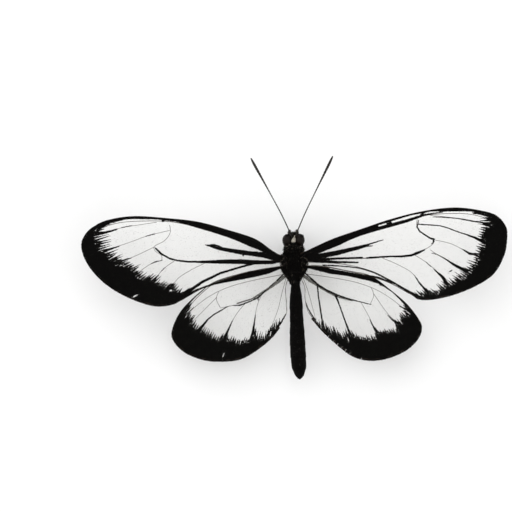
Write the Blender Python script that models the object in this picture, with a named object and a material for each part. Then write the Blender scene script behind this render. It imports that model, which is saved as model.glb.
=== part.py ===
# A life-size clearwing butterfly, standing with its wings spread flat and seen best from above.
# Metres, +Z up, head towards +Y. The floor is z = 0, and the origin is on it, under the middle of the
# butterfly's box. Sizes are written in millimetres, in the body's own frame, whose y = 0 is the middle
# of the thorax.

import math

import bpy
from mathutils import Matrix, Vector
from mathutils.geometry import delaunay_2d_cdt

MM = 0.001
GAP = 0.3                # between touching nodes

# Body: how high the thorax's middle stands, and where its nodes begin and end along y
BODY_Z = 6.8
THORAX_FRONT = 3.3
THORAX_BACK = -3.3
HEAD_FRONT = 5.9
HEAD_BACK = 3.0
HEAD_Z = BODY_Z - 0.3
ABDOMEN_FRONT = -2.6
ABDOMEN_TIP = -21.85
ABDOMEN_SAG = 1.3        # how far the tip hangs below the thorax's middle
ABDOMEN_SEGMENTS = 8
RINGS_A_SEGMENT = 3
EYE_CENTRE = (1.1, 4.55, HEAD_Z + 0.02)
EYE_RADII = (1.04, 1.18, 1.25)

# Wings
FORE_ROOT_Z = BODY_Z + 1.5
HIND_ROOT_Z = BODY_Z + 0.25
WING_HALF_THICKNESS = 0.25
ROOT_HALF_THICKNESS = 0.36
ROOT_FADE = 2.4          # how fast the root's extra thickness fades outwards
VEIN_FADE = 0.45         # the share of its height that a vein loses on its way out
ROOT_X = 2.0             # where the wings leave the thorax, and start to rise
FORE_RISE = 0.125        # slopes outwards, and how fast they ease off
FORE_EASE = 0.00082
HIND_RISE = 0.088
HIND_EASE = 0.0012
FORE_ARCH = 0.011        # how far the forewing arches from front to back, about y = 2, past its first 8 mm
ARCH_Y = 2.0
ARCH_START = 8.0
HIND_DROOP = 0.0035      # how far the hindwing eases down to the rear of y = -2
OUTLINE_STEP = 2.0       # between points along the rim, along the veins, and between rows inside
VEIN_STEP = 2.2
INNER_STEP = 3.1
ROW_STEP = 2.7
INNER_ROOM = 1.4         # the least distance between points: inside, on a crest, at its foot, and to the rim
CREST_ROOM = 0.42
FOOT_ROOM = 0.27
EDGE_ROOM = 0.3
FOOT_SHARE = 0.8         # a foot closer than this share of its distance to another crest is left out

# Outlines in the body's frame: (x, y) with x outwards, one for the right wing (1) and one for the left (-1),
# which differ a little, as they do on a real animal. One smooth closed curve runs through each.
FORE_OUTLINES = {
    1: [
        (1.2, 1.4), (3.95, 2.9), (7.5, 4.55), (12.55, 6.22), (18.05, 7.92), (24.0, 9.27), (30.0, 9.87),
        (34.8, 9.24), (38.05, 8.12), (39.7, 6.1), (39.9, 3.8), (39.24, 0.58), (37.3, -2.75), (34.04, -4.92),
        (30.08, -6.43), (26.53, -7.23), (23.6, -7.29), (21.48, -6.09), (17.85, -3.85), (14.2, -2.02),
        (10.47, -0.96), (6.6, -0.5), (1.2, 0.0),
    ],
    -1: [
        (1.2, 1.4), (4.05, 2.7), (7.35, 4.95), (12.38, 6.77), (17.94, 8.38), (24.02, 9.25), (30.0, 9.76),
        (34.77, 9.15), (37.82, 7.77), (39.47, 5.95), (39.82, 3.8), (38.71, 0.85), (36.5, -1.95),
        (33.65, -4.24), (29.98, -6.14), (26.53, -7.23), (23.6, -7.17), (21.4, -6.22), (17.95, -3.74),
        (14.25, -1.9), (10.54, -0.64), (6.6, -0.1), (1.2, 0.0),
    ],
}
HIND_OUTLINES = {
    1: [
        (1.2, -1.1), (5.2, -0.45), (9.8, -0.75), (14.2, -2.1), (17.75, -5.1), (21.38, -8.47), (23.66, -11.93),
        (23.36, -14.31), (21.15, -16.67), (17.61, -18.24), (13.78, -18.7), (10.44, -17.72), (7.36, -15.2),
        (4.6, -12.43), (2.55, -9.6), (1.85, -6.8), (1.85, -4.6), (1.2, -2.6),
    ],
    -1: [
        (1.2, -1.1), (5.2, -0.45), (9.8, -0.75), (14.2, -2.1), (17.95, -4.92), (21.6, -8.3), (23.4, -12.0),
        (23.1, -14.15), (20.95, -16.37), (17.5, -17.8), (13.8, -18.15), (10.43, -17.77), (6.9, -15.8),
        (3.85, -13.1), (1.8, -9.8), (1.6, -7.6), (1.7, -4.6), (1.2, -2.6),
    ],
}

# Veins: name, ridge height at the root, half width, and the points it runs through. Those along a
# forewing's front and rear edge follow that wing's own outline.
FORE_EDGE_VEINS = {
    1: [
        ("costa", 0.26, 0.55,
         [(1.2, 1.2), (4.0, 2.3), (7.5, 3.95), (12.5, 5.65), (18.0, 7.38), (24.0, 8.75), (29.0, 9.25)]),
        ("anal", 0.15, 0.34, [(2.2, 0.35), (8.4, -0.15), (14.0, -1.5), (18.2, -3.4), (22.4, -6.2)]),
    ],
    -1: [
        ("costa", 0.26, 0.55,
         [(1.2, 1.2), (4.0, 2.1), (7.5, 4.3), (12.5, 6.15), (18.0, 7.8), (24.0, 8.72), (29.0, 9.2)]),
        ("anal", 0.15, 0.34, [(2.2, 0.35), (8.4, 0.3), (14.0, -1.35), (18.2, -3.2), (22.4, -6.1)]),
    ],
}
FORE_VEINS = [
    ("radius", 0.2, 0.42,
     [(1.2, 0.9), (6.5, 2.8), (12.0, 4.85), (16.2, 6.2), (21.0, 7.5), (25.7, 8.2), (32.5, 8.6), (37.4, 7.3)]),
    ("radius_fork", 0.13, 0.34, [(25.7, 8.2), (28.9, 7.95), (32.3, 7.3), (36.2, 6.4), (38.8, 5.3)]),
    ("cell_end", 0.13, 0.34, [(23.3, 7.85), (23.2, 6.8), (24.3, 5.1), (26.2, 3.9), (25.2, 2.5), (22.4, 1.25)]),
    ("media_1", 0.14, 0.34, [(23.2, 6.8), (27.0, 6.45), (31.1, 5.2), (35.2, 3.3), (38.3, 1.9)]),
    ("media_2", 0.14, 0.34, [(26.2, 3.9), (29.6, 3.0), (33.2, 0.95), (36.8, -0.6)]),
    ("media_3", 0.14, 0.34, [(25.2, 2.5), (26.7, 1.2), (30.0, -0.8), (33.6, -3.5)]),
    ("cubitus", 0.2, 0.42, [(1.2, 0.6), (7.0, 0.8), (13.6, 0.6), (18.6, 0.85), (22.4, 1.25)]),
    ("cubital_1", 0.14, 0.34, [(22.4, 1.25), (24.8, -0.35), (26.9, -2.4), (29.3, -6.1)]),
    ("cubital_2", 0.14, 0.34, [(16.6, 0.7), (19.8, -0.8), (22.4, -2.6), (24.9, -6.7)]),
    ("cell_streak", 0.12, 0.4, [(4.6, 1.75), (8.5, 2.55), (12.4, 3.45), (15.6, 3.95)]),
]
HIND_VEINS = [
    ("costa", 0.2, 0.5, [(1.2, -1.45), (6.0, -1.35), (10.8, -2.0), (14.8, -3.5), (17.3, -5.6)]),
    ("radius", 0.16, 0.38, [(1.2, -1.8), (7.0, -2.75), (12.0, -3.9), (16.0, -5.6), (19.6, -8.2), (22.0, -10.8)]),
    ("cell_end", 0.13, 0.34, [(14.4, -4.8), (14.9, -6.3), (14.2, -7.9)]),
    ("media_1", 0.14, 0.34, [(14.8, -5.9), (18.0, -8.2), (20.6, -10.6), (22.3, -12.9)]),
    ("media_2", 0.14, 0.34, [(14.2, -7.9), (17.4, -10.2), (19.6, -11.9), (21.4, -14.6)]),
    ("cubitus", 0.16, 0.38, [(1.2, -2.2), (3.3, -3.4), (5.2, -4.7), (7.6, -6.1), (10.7, -7.3), (14.2, -7.9)]),
    ("media_3", 0.14, 0.34, [(12.2, -7.6), (13.9, -10.9), (15.2, -14.1), (16.2, -16.9)]),
    ("cubital_1", 0.14, 0.34, [(7.6, -6.1), (8.9, -9.9), (10.1, -12.9), (11.2, -16.7)]),
    ("cubital_2", 0.14, 0.34, [(4.1, -3.9), (4.7, -7.0), (5.3, -10.9), (6.4, -13.8)]),
    ("anal", 0.13, 0.34, [(2.4, -2.9), (2.75, -6.6), (3.8, -10.4)]),
]

# Cross sections: y, half width, how far the top and the bottom are from the middle line
THORAX_SECTIONS = [
    (THORAX_FRONT, 1.0, 0.85, 0.85), (3.1, 1.5, 1.25, 1.3), (2.65, 1.76, 1.55, 1.6), (1.95, 2.02, 1.85, 1.9),
    (1.1, 2.36, 2.2, 2.2), (0.2, 2.58, 2.4, 2.35), (-0.7, 2.5, 2.3, 2.35), (-1.6, 2.12, 1.95, 2.1),
    (-2.3, 1.6, 1.45, 1.6), (-2.9, 1.15, 1.0, 1.1), (THORAX_BACK, 0.7, 0.6, 0.65),
]
HEAD_SECTIONS = [
    (HEAD_FRONT, 0.35, 0.3, 0.4), (5.6, 0.6, 0.78, 0.88), (5.2, 0.68, 1.05, 1.12), (4.6, 0.68, 1.18, 1.2),
    (3.9, 0.85, 1.05, 1.1), (3.4, 1.0, 0.85, 0.9), (HEAD_BACK, 0.6, 0.5, 0.5),
]
# At even steps from the abdomen's front to its tip: its half width, slim, with a waist and a rounded end,
# and how far its middle line sways to the right
ABDOMEN_WIDTHS = [
    0.93, 0.92, 1.05, 1.21, 1.26, 1.26, 1.29, 1.36, 1.44, 1.48, 1.5, 1.5, 1.46, 1.36, 1.1, 0.24,
]
ABDOMEN_SWAY = [0.06, 0.17, 0.18, 0.2, 0.24, 0.27, 0.33, 0.44, 0.52]
ABDOMEN_TALL = 1.06      # its height over its width
GROOVE_DEPTH = 0.06
POLE_OUT = 0.12          # how far a body's last point stands out past its last ring
TIP_OUT = 0.5            # the same for a limb, as a share of its thickness

# Legs: the path of the right one and its thickness at each point. The walking legs stand on their feet,
# and the short forelegs of this family are folded under the chest.
TARSUS_Z = 0.2           # the feet's middle line, low enough for each to rest on a narrow flat
LEG_PATHS = {
    "foreleg": (
        [(0.5, 1.9, BODY_Z - 0.6), (0.95, 2.6, BODY_Z - 2.0), (1.85, 4.1, BODY_Z - 2.5),
         (1.2, 2.95, BODY_Z - 3.75)],
        [0.36, 0.32, 0.27, 0.25],
    ),
    "midleg": (
        [(0.5, 0.3, BODY_Z - 0.6), (1.3, 0.55, BODY_Z - 2.55), (5.4, 2.9, 5.55), (8.6, 4.5, 0.75),
         (9.3, 4.8, TARSUS_Z), (11.6, 5.7, TARSUS_Z)],
        [0.44, 0.42, 0.33, 0.28, 0.27, 0.27],
    ),
    "hindleg": (
        [(0.5, -1.4, BODY_Z - 0.6), (1.2, -1.9, BODY_Z - 2.4), (4.3, -4.2, 5.3), (7.8, -6.35, 0.75),
         (8.5, -6.65, TARSUS_Z), (11.0, -7.35, TARSUS_Z)],
        [0.44, 0.42, 0.33, 0.28, 0.27, 0.27],
    ),
}
LEG_BEND = 0.55          # how far from each joint the leg starts to turn
LEG_SIDES = 8

# Feelers, palps and tongue
ANTENNA_PATH = [
    (0.34, 5.0, HEAD_Z + 0.4), (0.5, 5.55, HEAD_Z + 1.45), (2.1, 9.2, HEAD_Z + 2.7),
    (4.5, 13.9, HEAD_Z + 3.8), (6.9, 18.5, HEAD_Z + 4.4), (7.7, 20.1, HEAD_Z + 4.45),
]
ANTENNA_RADII = [0.3, 0.27, 0.27, 0.27, 0.42, 0.2]
PALP_PATH = [
    (0.62, 4.6, HEAD_Z - 0.8), (0.72, 5.6, HEAD_Z - 1.35), (0.72, 6.25, HEAD_Z - 0.7),
    (0.68, 6.35, HEAD_Z + 0.2),
]
PALP_RADII = [0.26, 0.3, 0.27, 0.12]
TONGUE_CENTRE = (5.2, HEAD_Z - 2.35)
TONGUE_RADII = (1.12, 0.42)
TONGUE_TURNS = 1.05
TONGUE_STEPS = 18
TONGUE_START = math.radians(150)
TONGUE_THICKNESS = (0.27, 0.25)

hidden_things = []


def make_material(name, colour, roughness, metallic=0.0):
    material = bpy.data.materials.new(name)
    material.use_nodes = True
    shader = material.node_tree.nodes["Principled BSDF"]
    shader.inputs["Base Color"].default_value = (*colour, 1.0)
    shader.inputs["Roughness"].default_value = roughness
    shader.inputs["Metallic"].default_value = metallic
    return material


def make_object(name, points, faces, material):
    """A mesh object from points in millimetres, smooth except over sharp edges."""
    mesh = bpy.data.meshes.new(name)
    mesh.from_pydata([Vector(p) * MM for p in points], [], faces)
    mesh.materials.append(material)
    mesh.shade_smooth()
    mesh.set_sharp_from_angle(angle=math.radians(40))
    thing = bpy.data.objects.new(name, mesh)
    bpy.context.scene.collection.objects.link(thing)
    return thing


def along(points, t):
    """The point at t, from 0 to 1, of a smooth curve through the points, which may be numbers or tuples."""
    spans = len(points) - 1
    k = min(int(t * spans), spans - 1)
    u = t * spans - k
    p0, p1, p2, p3 = (points[min(max(k + d, 0), spans)] for d in (-1, 0, 1, 2))

    def blend(a, b, c, d):
        return 0.5 * (2 * b + (c - a) * u + (2 * a - 5 * b + 4 * c - d) * u**2 + (3 * b - a - 3 * c + d) * u**3)

    if isinstance(p1, (int, float)):
        return blend(p0, p1, p2, p3)
    return tuple(blend(*values) for values in zip(p0, p1, p2, p3))


def length_of(points):
    return sum(math.dist(a, b) for a, b in zip(points, points[1:]))


def run_through(points, step):
    """Points about a step apart along the smooth curve through the given ones, ends included."""
    count = max(2, round(length_of(points) / step))
    return [along(points, k / count) for k in range(count + 1)]


def ring_faces(rings, sides):
    """Quads between successive rings of points, numbered ring by ring."""
    return [
        (r * sides + k, r * sides + (k + 1) % sides, (r + 1) * sides + (k + 1) % sides, (r + 1) * sides + k)
        for r in range(rings - 1)
        for k in range(sides)
    ]


def close_ends(points, faces, rings, sides, start, end):
    """Adds a pole at each end of a row of rings."""
    first, last = len(points), len(points) + 1
    points += [start, end]
    back = (rings - 1) * sides
    faces += [(k, first, (k + 1) % sides) for k in range(sides)]
    faces += [(back + (k + 1) % sides, last, back + k) for k in range(sides)]


def body_loft(name, sections, z_of, sides, material, x_of=lambda y: 0.0):
    """A closed body along y. Each section is y, half width, top and bottom, about x_of(y) and z_of(y)."""
    points = []
    for y, half_width, top, bottom in sections:
        for k in range(sides):
            angle = 2 * math.pi * k / sides
            lift = top if math.sin(angle) > 0 else bottom
            points.append((x_of(y) + half_width * math.cos(angle), y, z_of(y) + lift * math.sin(angle)))
    faces = ring_faces(len(sections), sides)
    front, back = sections[0][0], sections[-1][0]
    ends = [(x_of(front), front + POLE_OUT, z_of(front)), (x_of(back), back - POLE_OUT, z_of(back))]
    close_ends(points, faces, len(sections), sides, *ends)
    return make_object(name, points, faces, material)


def swept_tube(name, path, radii, sides, material, floor=None):
    """A closed tube along a path of points, with a radius for each, flattened where it meets the floor."""
    points = []
    forward = (Vector(path[1]) - Vector(path[0])).normalized()
    side = forward.cross(Vector((0, 0, 1)))
    side = (side if side.length > 0.1 else forward.cross(Vector((0, 1, 0)))).normalized()
    for k, place in enumerate(path):
        before, after = Vector(path[max(k - 1, 0)]), Vector(path[min(k + 1, len(path) - 1)])
        turned = (after - before).normalized()
        side = (side - turned * side.dot(turned)).normalized()
        up = side.cross(turned)
        for n in range(sides):
            angle = 2 * math.pi * (n + 0.5) / sides
            points.append(Vector(place) + (side * math.cos(angle) + up * math.sin(angle)) * radii[k])
    faces = ring_faces(len(path), sides)
    start = Vector(path[0]) - forward * radii[0] * TIP_OUT
    end = Vector(path[-1]) + (Vector(path[-1]) - Vector(path[-2])).normalized() * radii[-1] * TIP_OUT
    close_ends(points, faces, len(path), sides, start, end)
    if floor is not None:
        points = [Vector((p[0], p[1], max(p[2], floor))) for p in points]
    return make_object(name, points, [face[::-1] for face in faces], material)


def inflated(thing):
    """A hidden copy of a body, thicker all over by the gap, for cutting its neighbours clear of it."""
    mesh = thing.data.copy()
    for vertex in thing.data.vertices:
        mesh.vertices[vertex.index].co = vertex.co + vertex.normal * GAP * MM
    cutter = bpy.data.objects.new(thing.name + "_cutter", mesh)
    bpy.context.scene.collection.objects.link(cutter)
    hide(cutter)
    return cutter


def hide(cutter):
    cutter.hide_render = True
    cutter.display_type = "WIRE"
    hidden_things.append(cutter)


def cut_clear(thing, cutter):
    modifier = thing.modifiers.new("clear_of_" + cutter.name, "BOOLEAN")
    modifier.operation = "DIFFERENCE"
    modifier.solver = "EXACT"
    modifier.object = cutter


def mirrored_pair(build, name):
    """Builds the right one, then its mirror image on the left, each with its own mesh."""
    right = build(name + "_R", 1)
    left = build(name + "_L", -1)
    return right, left


def flip(points, side):
    return [(p[0] * side, *p[1:]) for p in points]


# Wings

def fore_height(x, y):
    """The middle of the forewing's thickness: it rises outwards and is arched from front to back."""
    out = max(x - ROOT_X, 0)
    arch = FORE_ARCH * (y - ARCH_Y) ** 2 * min(1, out / ARCH_START)
    return FORE_ROOT_Z + FORE_RISE * out - FORE_EASE * out**2 - arch


def hind_height(x, y):
    """The middle of the hindwing's thickness: it rises outwards a little less, and eases down to the rear."""
    out = max(x - ROOT_X, 0)
    back = max(-y - ROOT_X, 0)
    return HIND_ROOT_Z + HIND_RISE * out - HIND_EASE * out**2 - HIND_DROOP * back**2


def distance_to_line(point, line):
    """How far a point is from a polyline, and how far along it, from 0 to 1, the nearest place is."""
    best, share = 1e9, 0.0
    p = Vector(point)
    for k, (a, b) in enumerate(zip(line, line[1:])):
        start, run = Vector(a), Vector(b) - Vector(a)
        u = min(max((p - start).dot(run) / run.length_squared, 0), 1)
        gap = (p - start - run * u).length
        if gap < best:
            best, share = gap, (k + u) / (len(line) - 1)
    return best, share


def inside(point, outline):
    x, y = point
    crossings = 0
    for (x1, y1), (x2, y2) in zip(outline, outline[1:] + outline[:1]):
        if (y1 > y) != (y2 > y) and x < x1 + (y - y1) / (y2 - y1) * (x2 - x1):
            crossings += 1
    return crossings % 2 == 1


def wing_plan(outline_points, veins):
    """The wing's outline cut into triangles, with lines of points along each vein's crest and both its feet."""
    outline = run_through(outline_points + outline_points[:1], OUTLINE_STEP)[:-1]
    rim = outline + outline[:1]
    points = [Vector(p) for p in outline]
    edges = [(k, (k + 1) % len(outline)) for k in range(len(outline))]

    def add_line(line, room, may_join):
        """Adds a line's points and the edges between them, joining or leaving out those near others."""
        last = None
        for place in line:
            here = None
            if place is not None and inside(place, outline):
                p = Vector(place)
                gap, nearest = min(((p - q).length, k) for k, q in enumerate(points))
                if gap >= room and distance_to_line(place, rim)[0] > EDGE_ROOM:
                    points.append(p)
                    here = len(points) - 1
                elif may_join and gap < room * 2:
                    here = nearest
            if last is not None and here is not None and here != last:
                edges.append((last, here))
            last = here

    crests = [run_through(vein[3], VEIN_STEP) for vein in veins]
    for crest in crests:
        add_line(crest, CREST_ROOM, True)
    for vein, crest in zip(veins, crests):
        others = [line for line in crests if line is not crest]
        for sign in (1, -1):
            foot = beside(crest, vein[2] * sign)
            clear = [min(distance_to_line(p, line)[0] for line in others) > vein[2] * FOOT_SHARE for p in foot]
            add_line([p if free else None for p, free in zip(foot, clear)], FOOT_ROOM, False)
    low = (min(p.x for p in points), min(p.y for p in points))
    high = (max(p.x for p in points), max(p.y for p in points))
    for row in range(int((high[1] - low[1]) / ROW_STEP) + 1):
        for column in range(int((high[0] - low[0]) / INNER_STEP) + 1):
            place = (low[0] + (column + row % 2 / 2) * INNER_STEP, low[1] + row * ROW_STEP)
            if inside(place, outline) and all((Vector(place) - q).length > INNER_ROOM for q in points):
                points.append(Vector(place))
    flat, _, triangles, *_ = delaunay_2d_cdt(points, edges, [list(range(len(outline)))], 1, 1e-4)
    return flat, triangles, crests


def beside(line, distance):
    """A line parallel to another, at a distance to its left."""
    out = []
    for k, place in enumerate(line):
        run = (Vector(line[min(k + 1, len(line) - 1)]) - Vector(line[max(k - 1, 0)])).normalized()
        out.append(tuple(Vector(place) + Vector((-run.y, run.x)) * distance))
    return out


def half_thickness(point, veins, crests):
    """Half the wing's thickness at a place: the membrane, its stouter root, and its highest vein there."""
    thick = WING_HALF_THICKNESS
    thick += (ROOT_HALF_THICKNESS - WING_HALF_THICKNESS) * math.exp(-max(point[0] - ROOT_X, 0) / ROOT_FADE)
    ridge = 0
    for (_, height, half_width, _), crest in zip(veins, crests):
        gap, share = distance_to_line(point, crest)
        ridge = max(ridge, height * (1 - VEIN_FADE * share) * (1 - gap / half_width))
    return thick + ridge


def build_wing(name, side, outline, veins, height, material):
    flat, triangles, crests = wing_plan(outline, veins)
    top, under = [], []
    for p in flat:
        middle = height(p[0], p[1])
        half = half_thickness(p, veins, crests)
        top.append((p[0] * side, p[1], middle + half))
        under.append((p[0] * side, p[1], middle - half))
    count = len(flat)
    faces = []
    uses = set()
    for triangle in triangles:
        a, b, c = (flat[k] for k in triangle)
        turn = (b[0] - a[0]) * (c[1] - a[1]) - (b[1] - a[1]) * (c[0] - a[0])
        upper = tuple(triangle) if turn * side > 0 else tuple(triangle)[::-1]
        faces.append(upper)
        faces.append(tuple(k + count for k in upper[::-1]))
        uses.update(zip(upper, upper[1:] + upper[:1]))
    for start, end in sorted(uses):
        if (end, start) not in uses:
            faces.append((start, start + count, end + count, end))
    return make_object(name, top + under, faces, material)


# Body and limbs

def thorax_line(y):
    return BODY_Z


def head_line(y):
    return HEAD_Z


def abdomen_share(y):
    return min(max((ABDOMEN_FRONT - y) / (ABDOMEN_FRONT - ABDOMEN_TIP), 0), 1)


def abdomen_line(y):
    """The abdomen's middle line hangs more and more towards its tip."""
    return BODY_Z - ABDOMEN_SAG * abdomen_share(y) ** 1.6


def abdomen_sway(y):
    return along(ABDOMEN_SWAY, abdomen_share(y))


def abdomen_sections():
    """Rings along the abdomen, pulled in where one segment meets the next, and closer at its rounded end."""
    count = ABDOMEN_SEGMENTS * RINGS_A_SEGMENT
    shares = [k / count for k in range(count)] + [1 - 0.5 / count, 1 - 0.15 / count]
    sections = []
    for k, share in enumerate(shares):
        y = ABDOMEN_FRONT + (ABDOMEN_TIP - ABDOMEN_FRONT) * share
        groove = GROOVE_DEPTH if k % RINGS_A_SEGMENT == 0 and 0 < k < count else 0
        half = along(ABDOMEN_WIDTHS, share) * (1 - groove)
        sections.append((y, half, half * ABDOMEN_TALL, half * ABDOMEN_TALL))
    return sections


def build_ball(name, centre, radii, rows, sides, material):
    """An ellipsoid with its poles at the front and the back."""
    sections = []
    for k in range(1, rows):
        angle = math.pi * k / rows
        ring = math.sin(angle)
        sections.append((radii[1] * math.cos(angle), radii[0] * ring, radii[2] * ring, radii[2] * ring))
    points = []
    for y, wide, tall, _ in sections:
        for k in range(sides):
            angle = 2 * math.pi * k / sides
            points.append((centre[0] + wide * math.cos(angle), centre[1] + y, centre[2] + tall * math.sin(angle)))
    faces = ring_faces(len(sections), sides)
    front = (centre[0], centre[1] + radii[1], centre[2])
    back = (centre[0], centre[1] - radii[1], centre[2])
    close_ends(points, faces, len(sections), sides, front, back)
    return make_object(name, points, faces, material)


def limb_path(joints, radii, bend):
    """Points along a jointed limb: straight lengths, each turning within a bend's reach of its joint."""
    path, thick = [joints[0]], [radii[0]]
    for k in range(1, len(joints) - 1):
        here = Vector(joints[k])
        to_last, to_next = Vector(joints[k - 1]) - here, Vector(joints[k + 1]) - here
        reach = min(bend, to_last.length * 0.4, to_next.length * 0.4)
        path += [
            tuple(here + to_last.normalized() * reach),
            tuple(here + (to_last.normalized() + to_next.normalized()) * reach * 0.25),
            tuple(here + to_next.normalized() * reach),
        ]
        thick += [radii[k] * 1.05, radii[k] * 1.12, radii[k] * 1.05]
    path.append(joints[-1])
    thick.append(radii[-1])
    return path, thick


def build_leg(name, side, kind, material, thorax_cutter):
    joints, radii = LEG_PATHS[kind]
    path, thick = limb_path(flip(joints, side), radii, LEG_BEND)
    leg = swept_tube(name, path, thick, LEG_SIDES, material, floor=0.0)
    cut_clear(leg, thorax_cutter)
    return leg


def tongue_path():
    """From inside the head down into one flat coil under it, in the body's middle plane."""
    middle_y, middle_z = TONGUE_CENTRE
    outer, inner = TONGUE_RADII
    path = [(0, 4.55, HEAD_Z - 0.5), (0, 4.45, HEAD_Z - 1.3)]
    for k in range(TONGUE_STEPS + 1):
        share = k / TONGUE_STEPS
        angle = TONGUE_START + 2 * math.pi * TONGUE_TURNS * share
        reach = outer + (inner - outer) * share
        path.append((0, middle_y + reach * math.cos(angle), middle_z + reach * math.sin(angle)))
    thick, thin = TONGUE_THICKNESS
    last = len(path) - 1
    return path, [thick + (thin - thick) * k / last for k in range(last + 1)]


def head_limb(name, side, joints, radii, count, material, cutters):
    """A feeler or a palp, cut clear of the head and the eye beside it."""
    path = [along(joints, k / count) for k in range(count + 1)]
    thick = [along(radii, k / count) for k in range(count + 1)]
    limb = swept_tube(name, flip(path, side), thick, LEG_SIDES, material)
    for cutter in cutters:
        cut_clear(limb, cutter)
    return limb


def box_middle(things):
    """The middle of the box round all the solids, as they are after their cuts, in metres."""
    graph = bpy.context.evaluated_depsgraph_get()
    corners = [
        thing.matrix_world @ Vector(corner)
        for thing in things
        for corner in thing.evaluated_get(graph).bound_box
    ]
    return [(min(c[k] for c in corners) + max(c[k] for c in corners)) / 2 for k in range(2)]


def main():
    for old in list(bpy.data.objects):
        bpy.data.objects.remove(old)

    black_scales = make_material("black_scales", (0.018, 0.016, 0.015), 0.7)
    dark_skin = make_material("dark_skin", (0.03, 0.026, 0.022), 0.5)
    eye_brown = make_material("eye_brown", (0.035, 0.022, 0.014), 0.18)
    clear_wing = make_material("clear_wing", (0.55, 0.53, 0.47), 0.3)

    thorax = body_loft("thorax", THORAX_SECTIONS, thorax_line, 28, black_scales)
    thorax_cutter = inflated(thorax)
    head = body_loft("head", HEAD_SECTIONS, head_line, 20, black_scales)
    head_cutter = inflated(head)
    cut_clear(head, thorax_cutter)
    abdomen = body_loft("abdomen", abdomen_sections(), abdomen_line, 20, black_scales, abdomen_sway)
    cut_clear(abdomen, thorax_cutter)
    solids = [thorax, head, abdomen]

    eye_cutters = {}

    def build_eye(name, side):
        centre = (EYE_CENTRE[0] * side, EYE_CENTRE[1], EYE_CENTRE[2])
        ball = build_ball(name, centre, EYE_RADII, 10, 20, eye_brown)
        eye_cutters[side] = inflated(ball)
        cut_clear(ball, head_cutter)
        cut_clear(ball, thorax_cutter)
        return ball

    def build_feeler(name, side):
        return head_limb(name, side, ANTENNA_PATH, ANTENNA_RADII, 22, dark_skin, [head_cutter, eye_cutters[side]])

    def build_palp(name, side):
        return head_limb(name, side, PALP_PATH, PALP_RADII, 10, black_scales, [head_cutter, eye_cutters[side]])

    solids += mirrored_pair(build_eye, "eye")
    for kind in LEG_PATHS:
        solids += mirrored_pair(lambda name, side: build_leg(name, side, kind, dark_skin, thorax_cutter), kind)
    solids += mirrored_pair(build_feeler, "antenna")
    solids += mirrored_pair(build_palp, "palp")
    path, thick = tongue_path()
    tongue = swept_tube("proboscis", path, thick, LEG_SIDES, dark_skin)
    cut_clear(tongue, head_cutter)
    solids.append(tongue)

    def forewing(name, side):
        veins = FORE_EDGE_VEINS[side] + FORE_VEINS
        return build_wing(name, side, FORE_OUTLINES[side], veins, fore_height, clear_wing)

    def hindwing(name, side):
        return build_wing(name, side, HIND_OUTLINES[side], HIND_VEINS, hind_height, clear_wing)

    for wing in mirrored_pair(forewing, "forewing") + mirrored_pair(hindwing, "hindwing"):
        cut_clear(wing, thorax_cutter)
        solids.append(wing)

    frame = bpy.data.objects.new("butterfly", None)
    bpy.context.scene.collection.objects.link(frame)
    for thing in solids + hidden_things:
        thing.parent = frame
    middle = box_middle(solids)
    frame.matrix_world = Matrix.Translation((-middle[0], -middle[1], 0))


main()
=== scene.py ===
import math

import bmesh
import bpy
import numpy as np
from mathutils import Matrix, Vector


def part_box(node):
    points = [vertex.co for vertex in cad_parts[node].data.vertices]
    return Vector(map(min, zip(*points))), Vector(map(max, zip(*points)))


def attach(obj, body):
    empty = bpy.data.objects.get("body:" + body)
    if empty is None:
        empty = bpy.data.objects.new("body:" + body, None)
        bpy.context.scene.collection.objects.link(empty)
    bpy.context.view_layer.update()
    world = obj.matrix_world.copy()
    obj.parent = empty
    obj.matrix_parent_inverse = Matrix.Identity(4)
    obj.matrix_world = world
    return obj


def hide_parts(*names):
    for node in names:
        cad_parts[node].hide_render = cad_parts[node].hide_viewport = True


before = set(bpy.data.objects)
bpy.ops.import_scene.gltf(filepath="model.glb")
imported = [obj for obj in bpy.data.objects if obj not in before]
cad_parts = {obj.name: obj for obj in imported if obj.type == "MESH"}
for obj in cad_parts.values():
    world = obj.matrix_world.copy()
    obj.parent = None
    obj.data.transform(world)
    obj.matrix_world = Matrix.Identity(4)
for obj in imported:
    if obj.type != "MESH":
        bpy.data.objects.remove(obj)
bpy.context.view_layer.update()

bpy.ops.object.select_all(action="DESELECT")

# Sizes are in millimetres in the butterfly's own frame: x to its right, y to its front with 0 at the middle
# of the thorax, z up from the floor. A left-hand part is drawn as a right-hand one and mirrored.
mm = 0.001
thoraxFront = 3.42
thoraxLow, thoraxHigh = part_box("thorax")
bodyShift = np.array([(thoraxLow[0] + thoraxHigh[0]) / 2, thoraxHigh[1] - thoraxFront * mm, 0]) / mm
labels = {"R": 1, "L": -1}
print("frame loaded, body shift", bodyShift.round(3))


# Curves, meshes and pieces

def along(points, t):  # a smooth curve through the points, t from 0 at the first to 1 at the last
    points = np.asarray(points, float)
    spans = len(points) - 1
    place = np.clip(np.asarray(t, float), 0, 1) * spans
    k = np.minimum(place.astype(int), spans - 1)
    u = (place - k)[..., None]
    p0, p1, p2, p3 = (points[np.clip(k + d, 0, spans)] for d in (-1, 0, 1, 2))
    square, cube = 2 * p0 - 5 * p1 + 4 * p2 - p3, 3 * p1 - p0 - 3 * p2 + p3
    return 0.5 * (2 * p1 + (p2 - p0) * u + square * u**2 + cube * u**3)


def evenly(points, step):  # the same curve as places about a step apart, measured flat
    dense = along(points, np.linspace(0, 1, 30 * len(points)))
    lengths = np.concatenate([[0], np.cumsum(np.linalg.norm(np.diff(dense[:, :2], axis=0), axis=1))])
    wanted = np.linspace(0, lengths[-1], max(2, round(lengths[-1] / step)) + 1)
    return np.stack([np.interp(wanted, lengths, dense[:, k]) for k in range(dense.shape[1])], axis=1)


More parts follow.
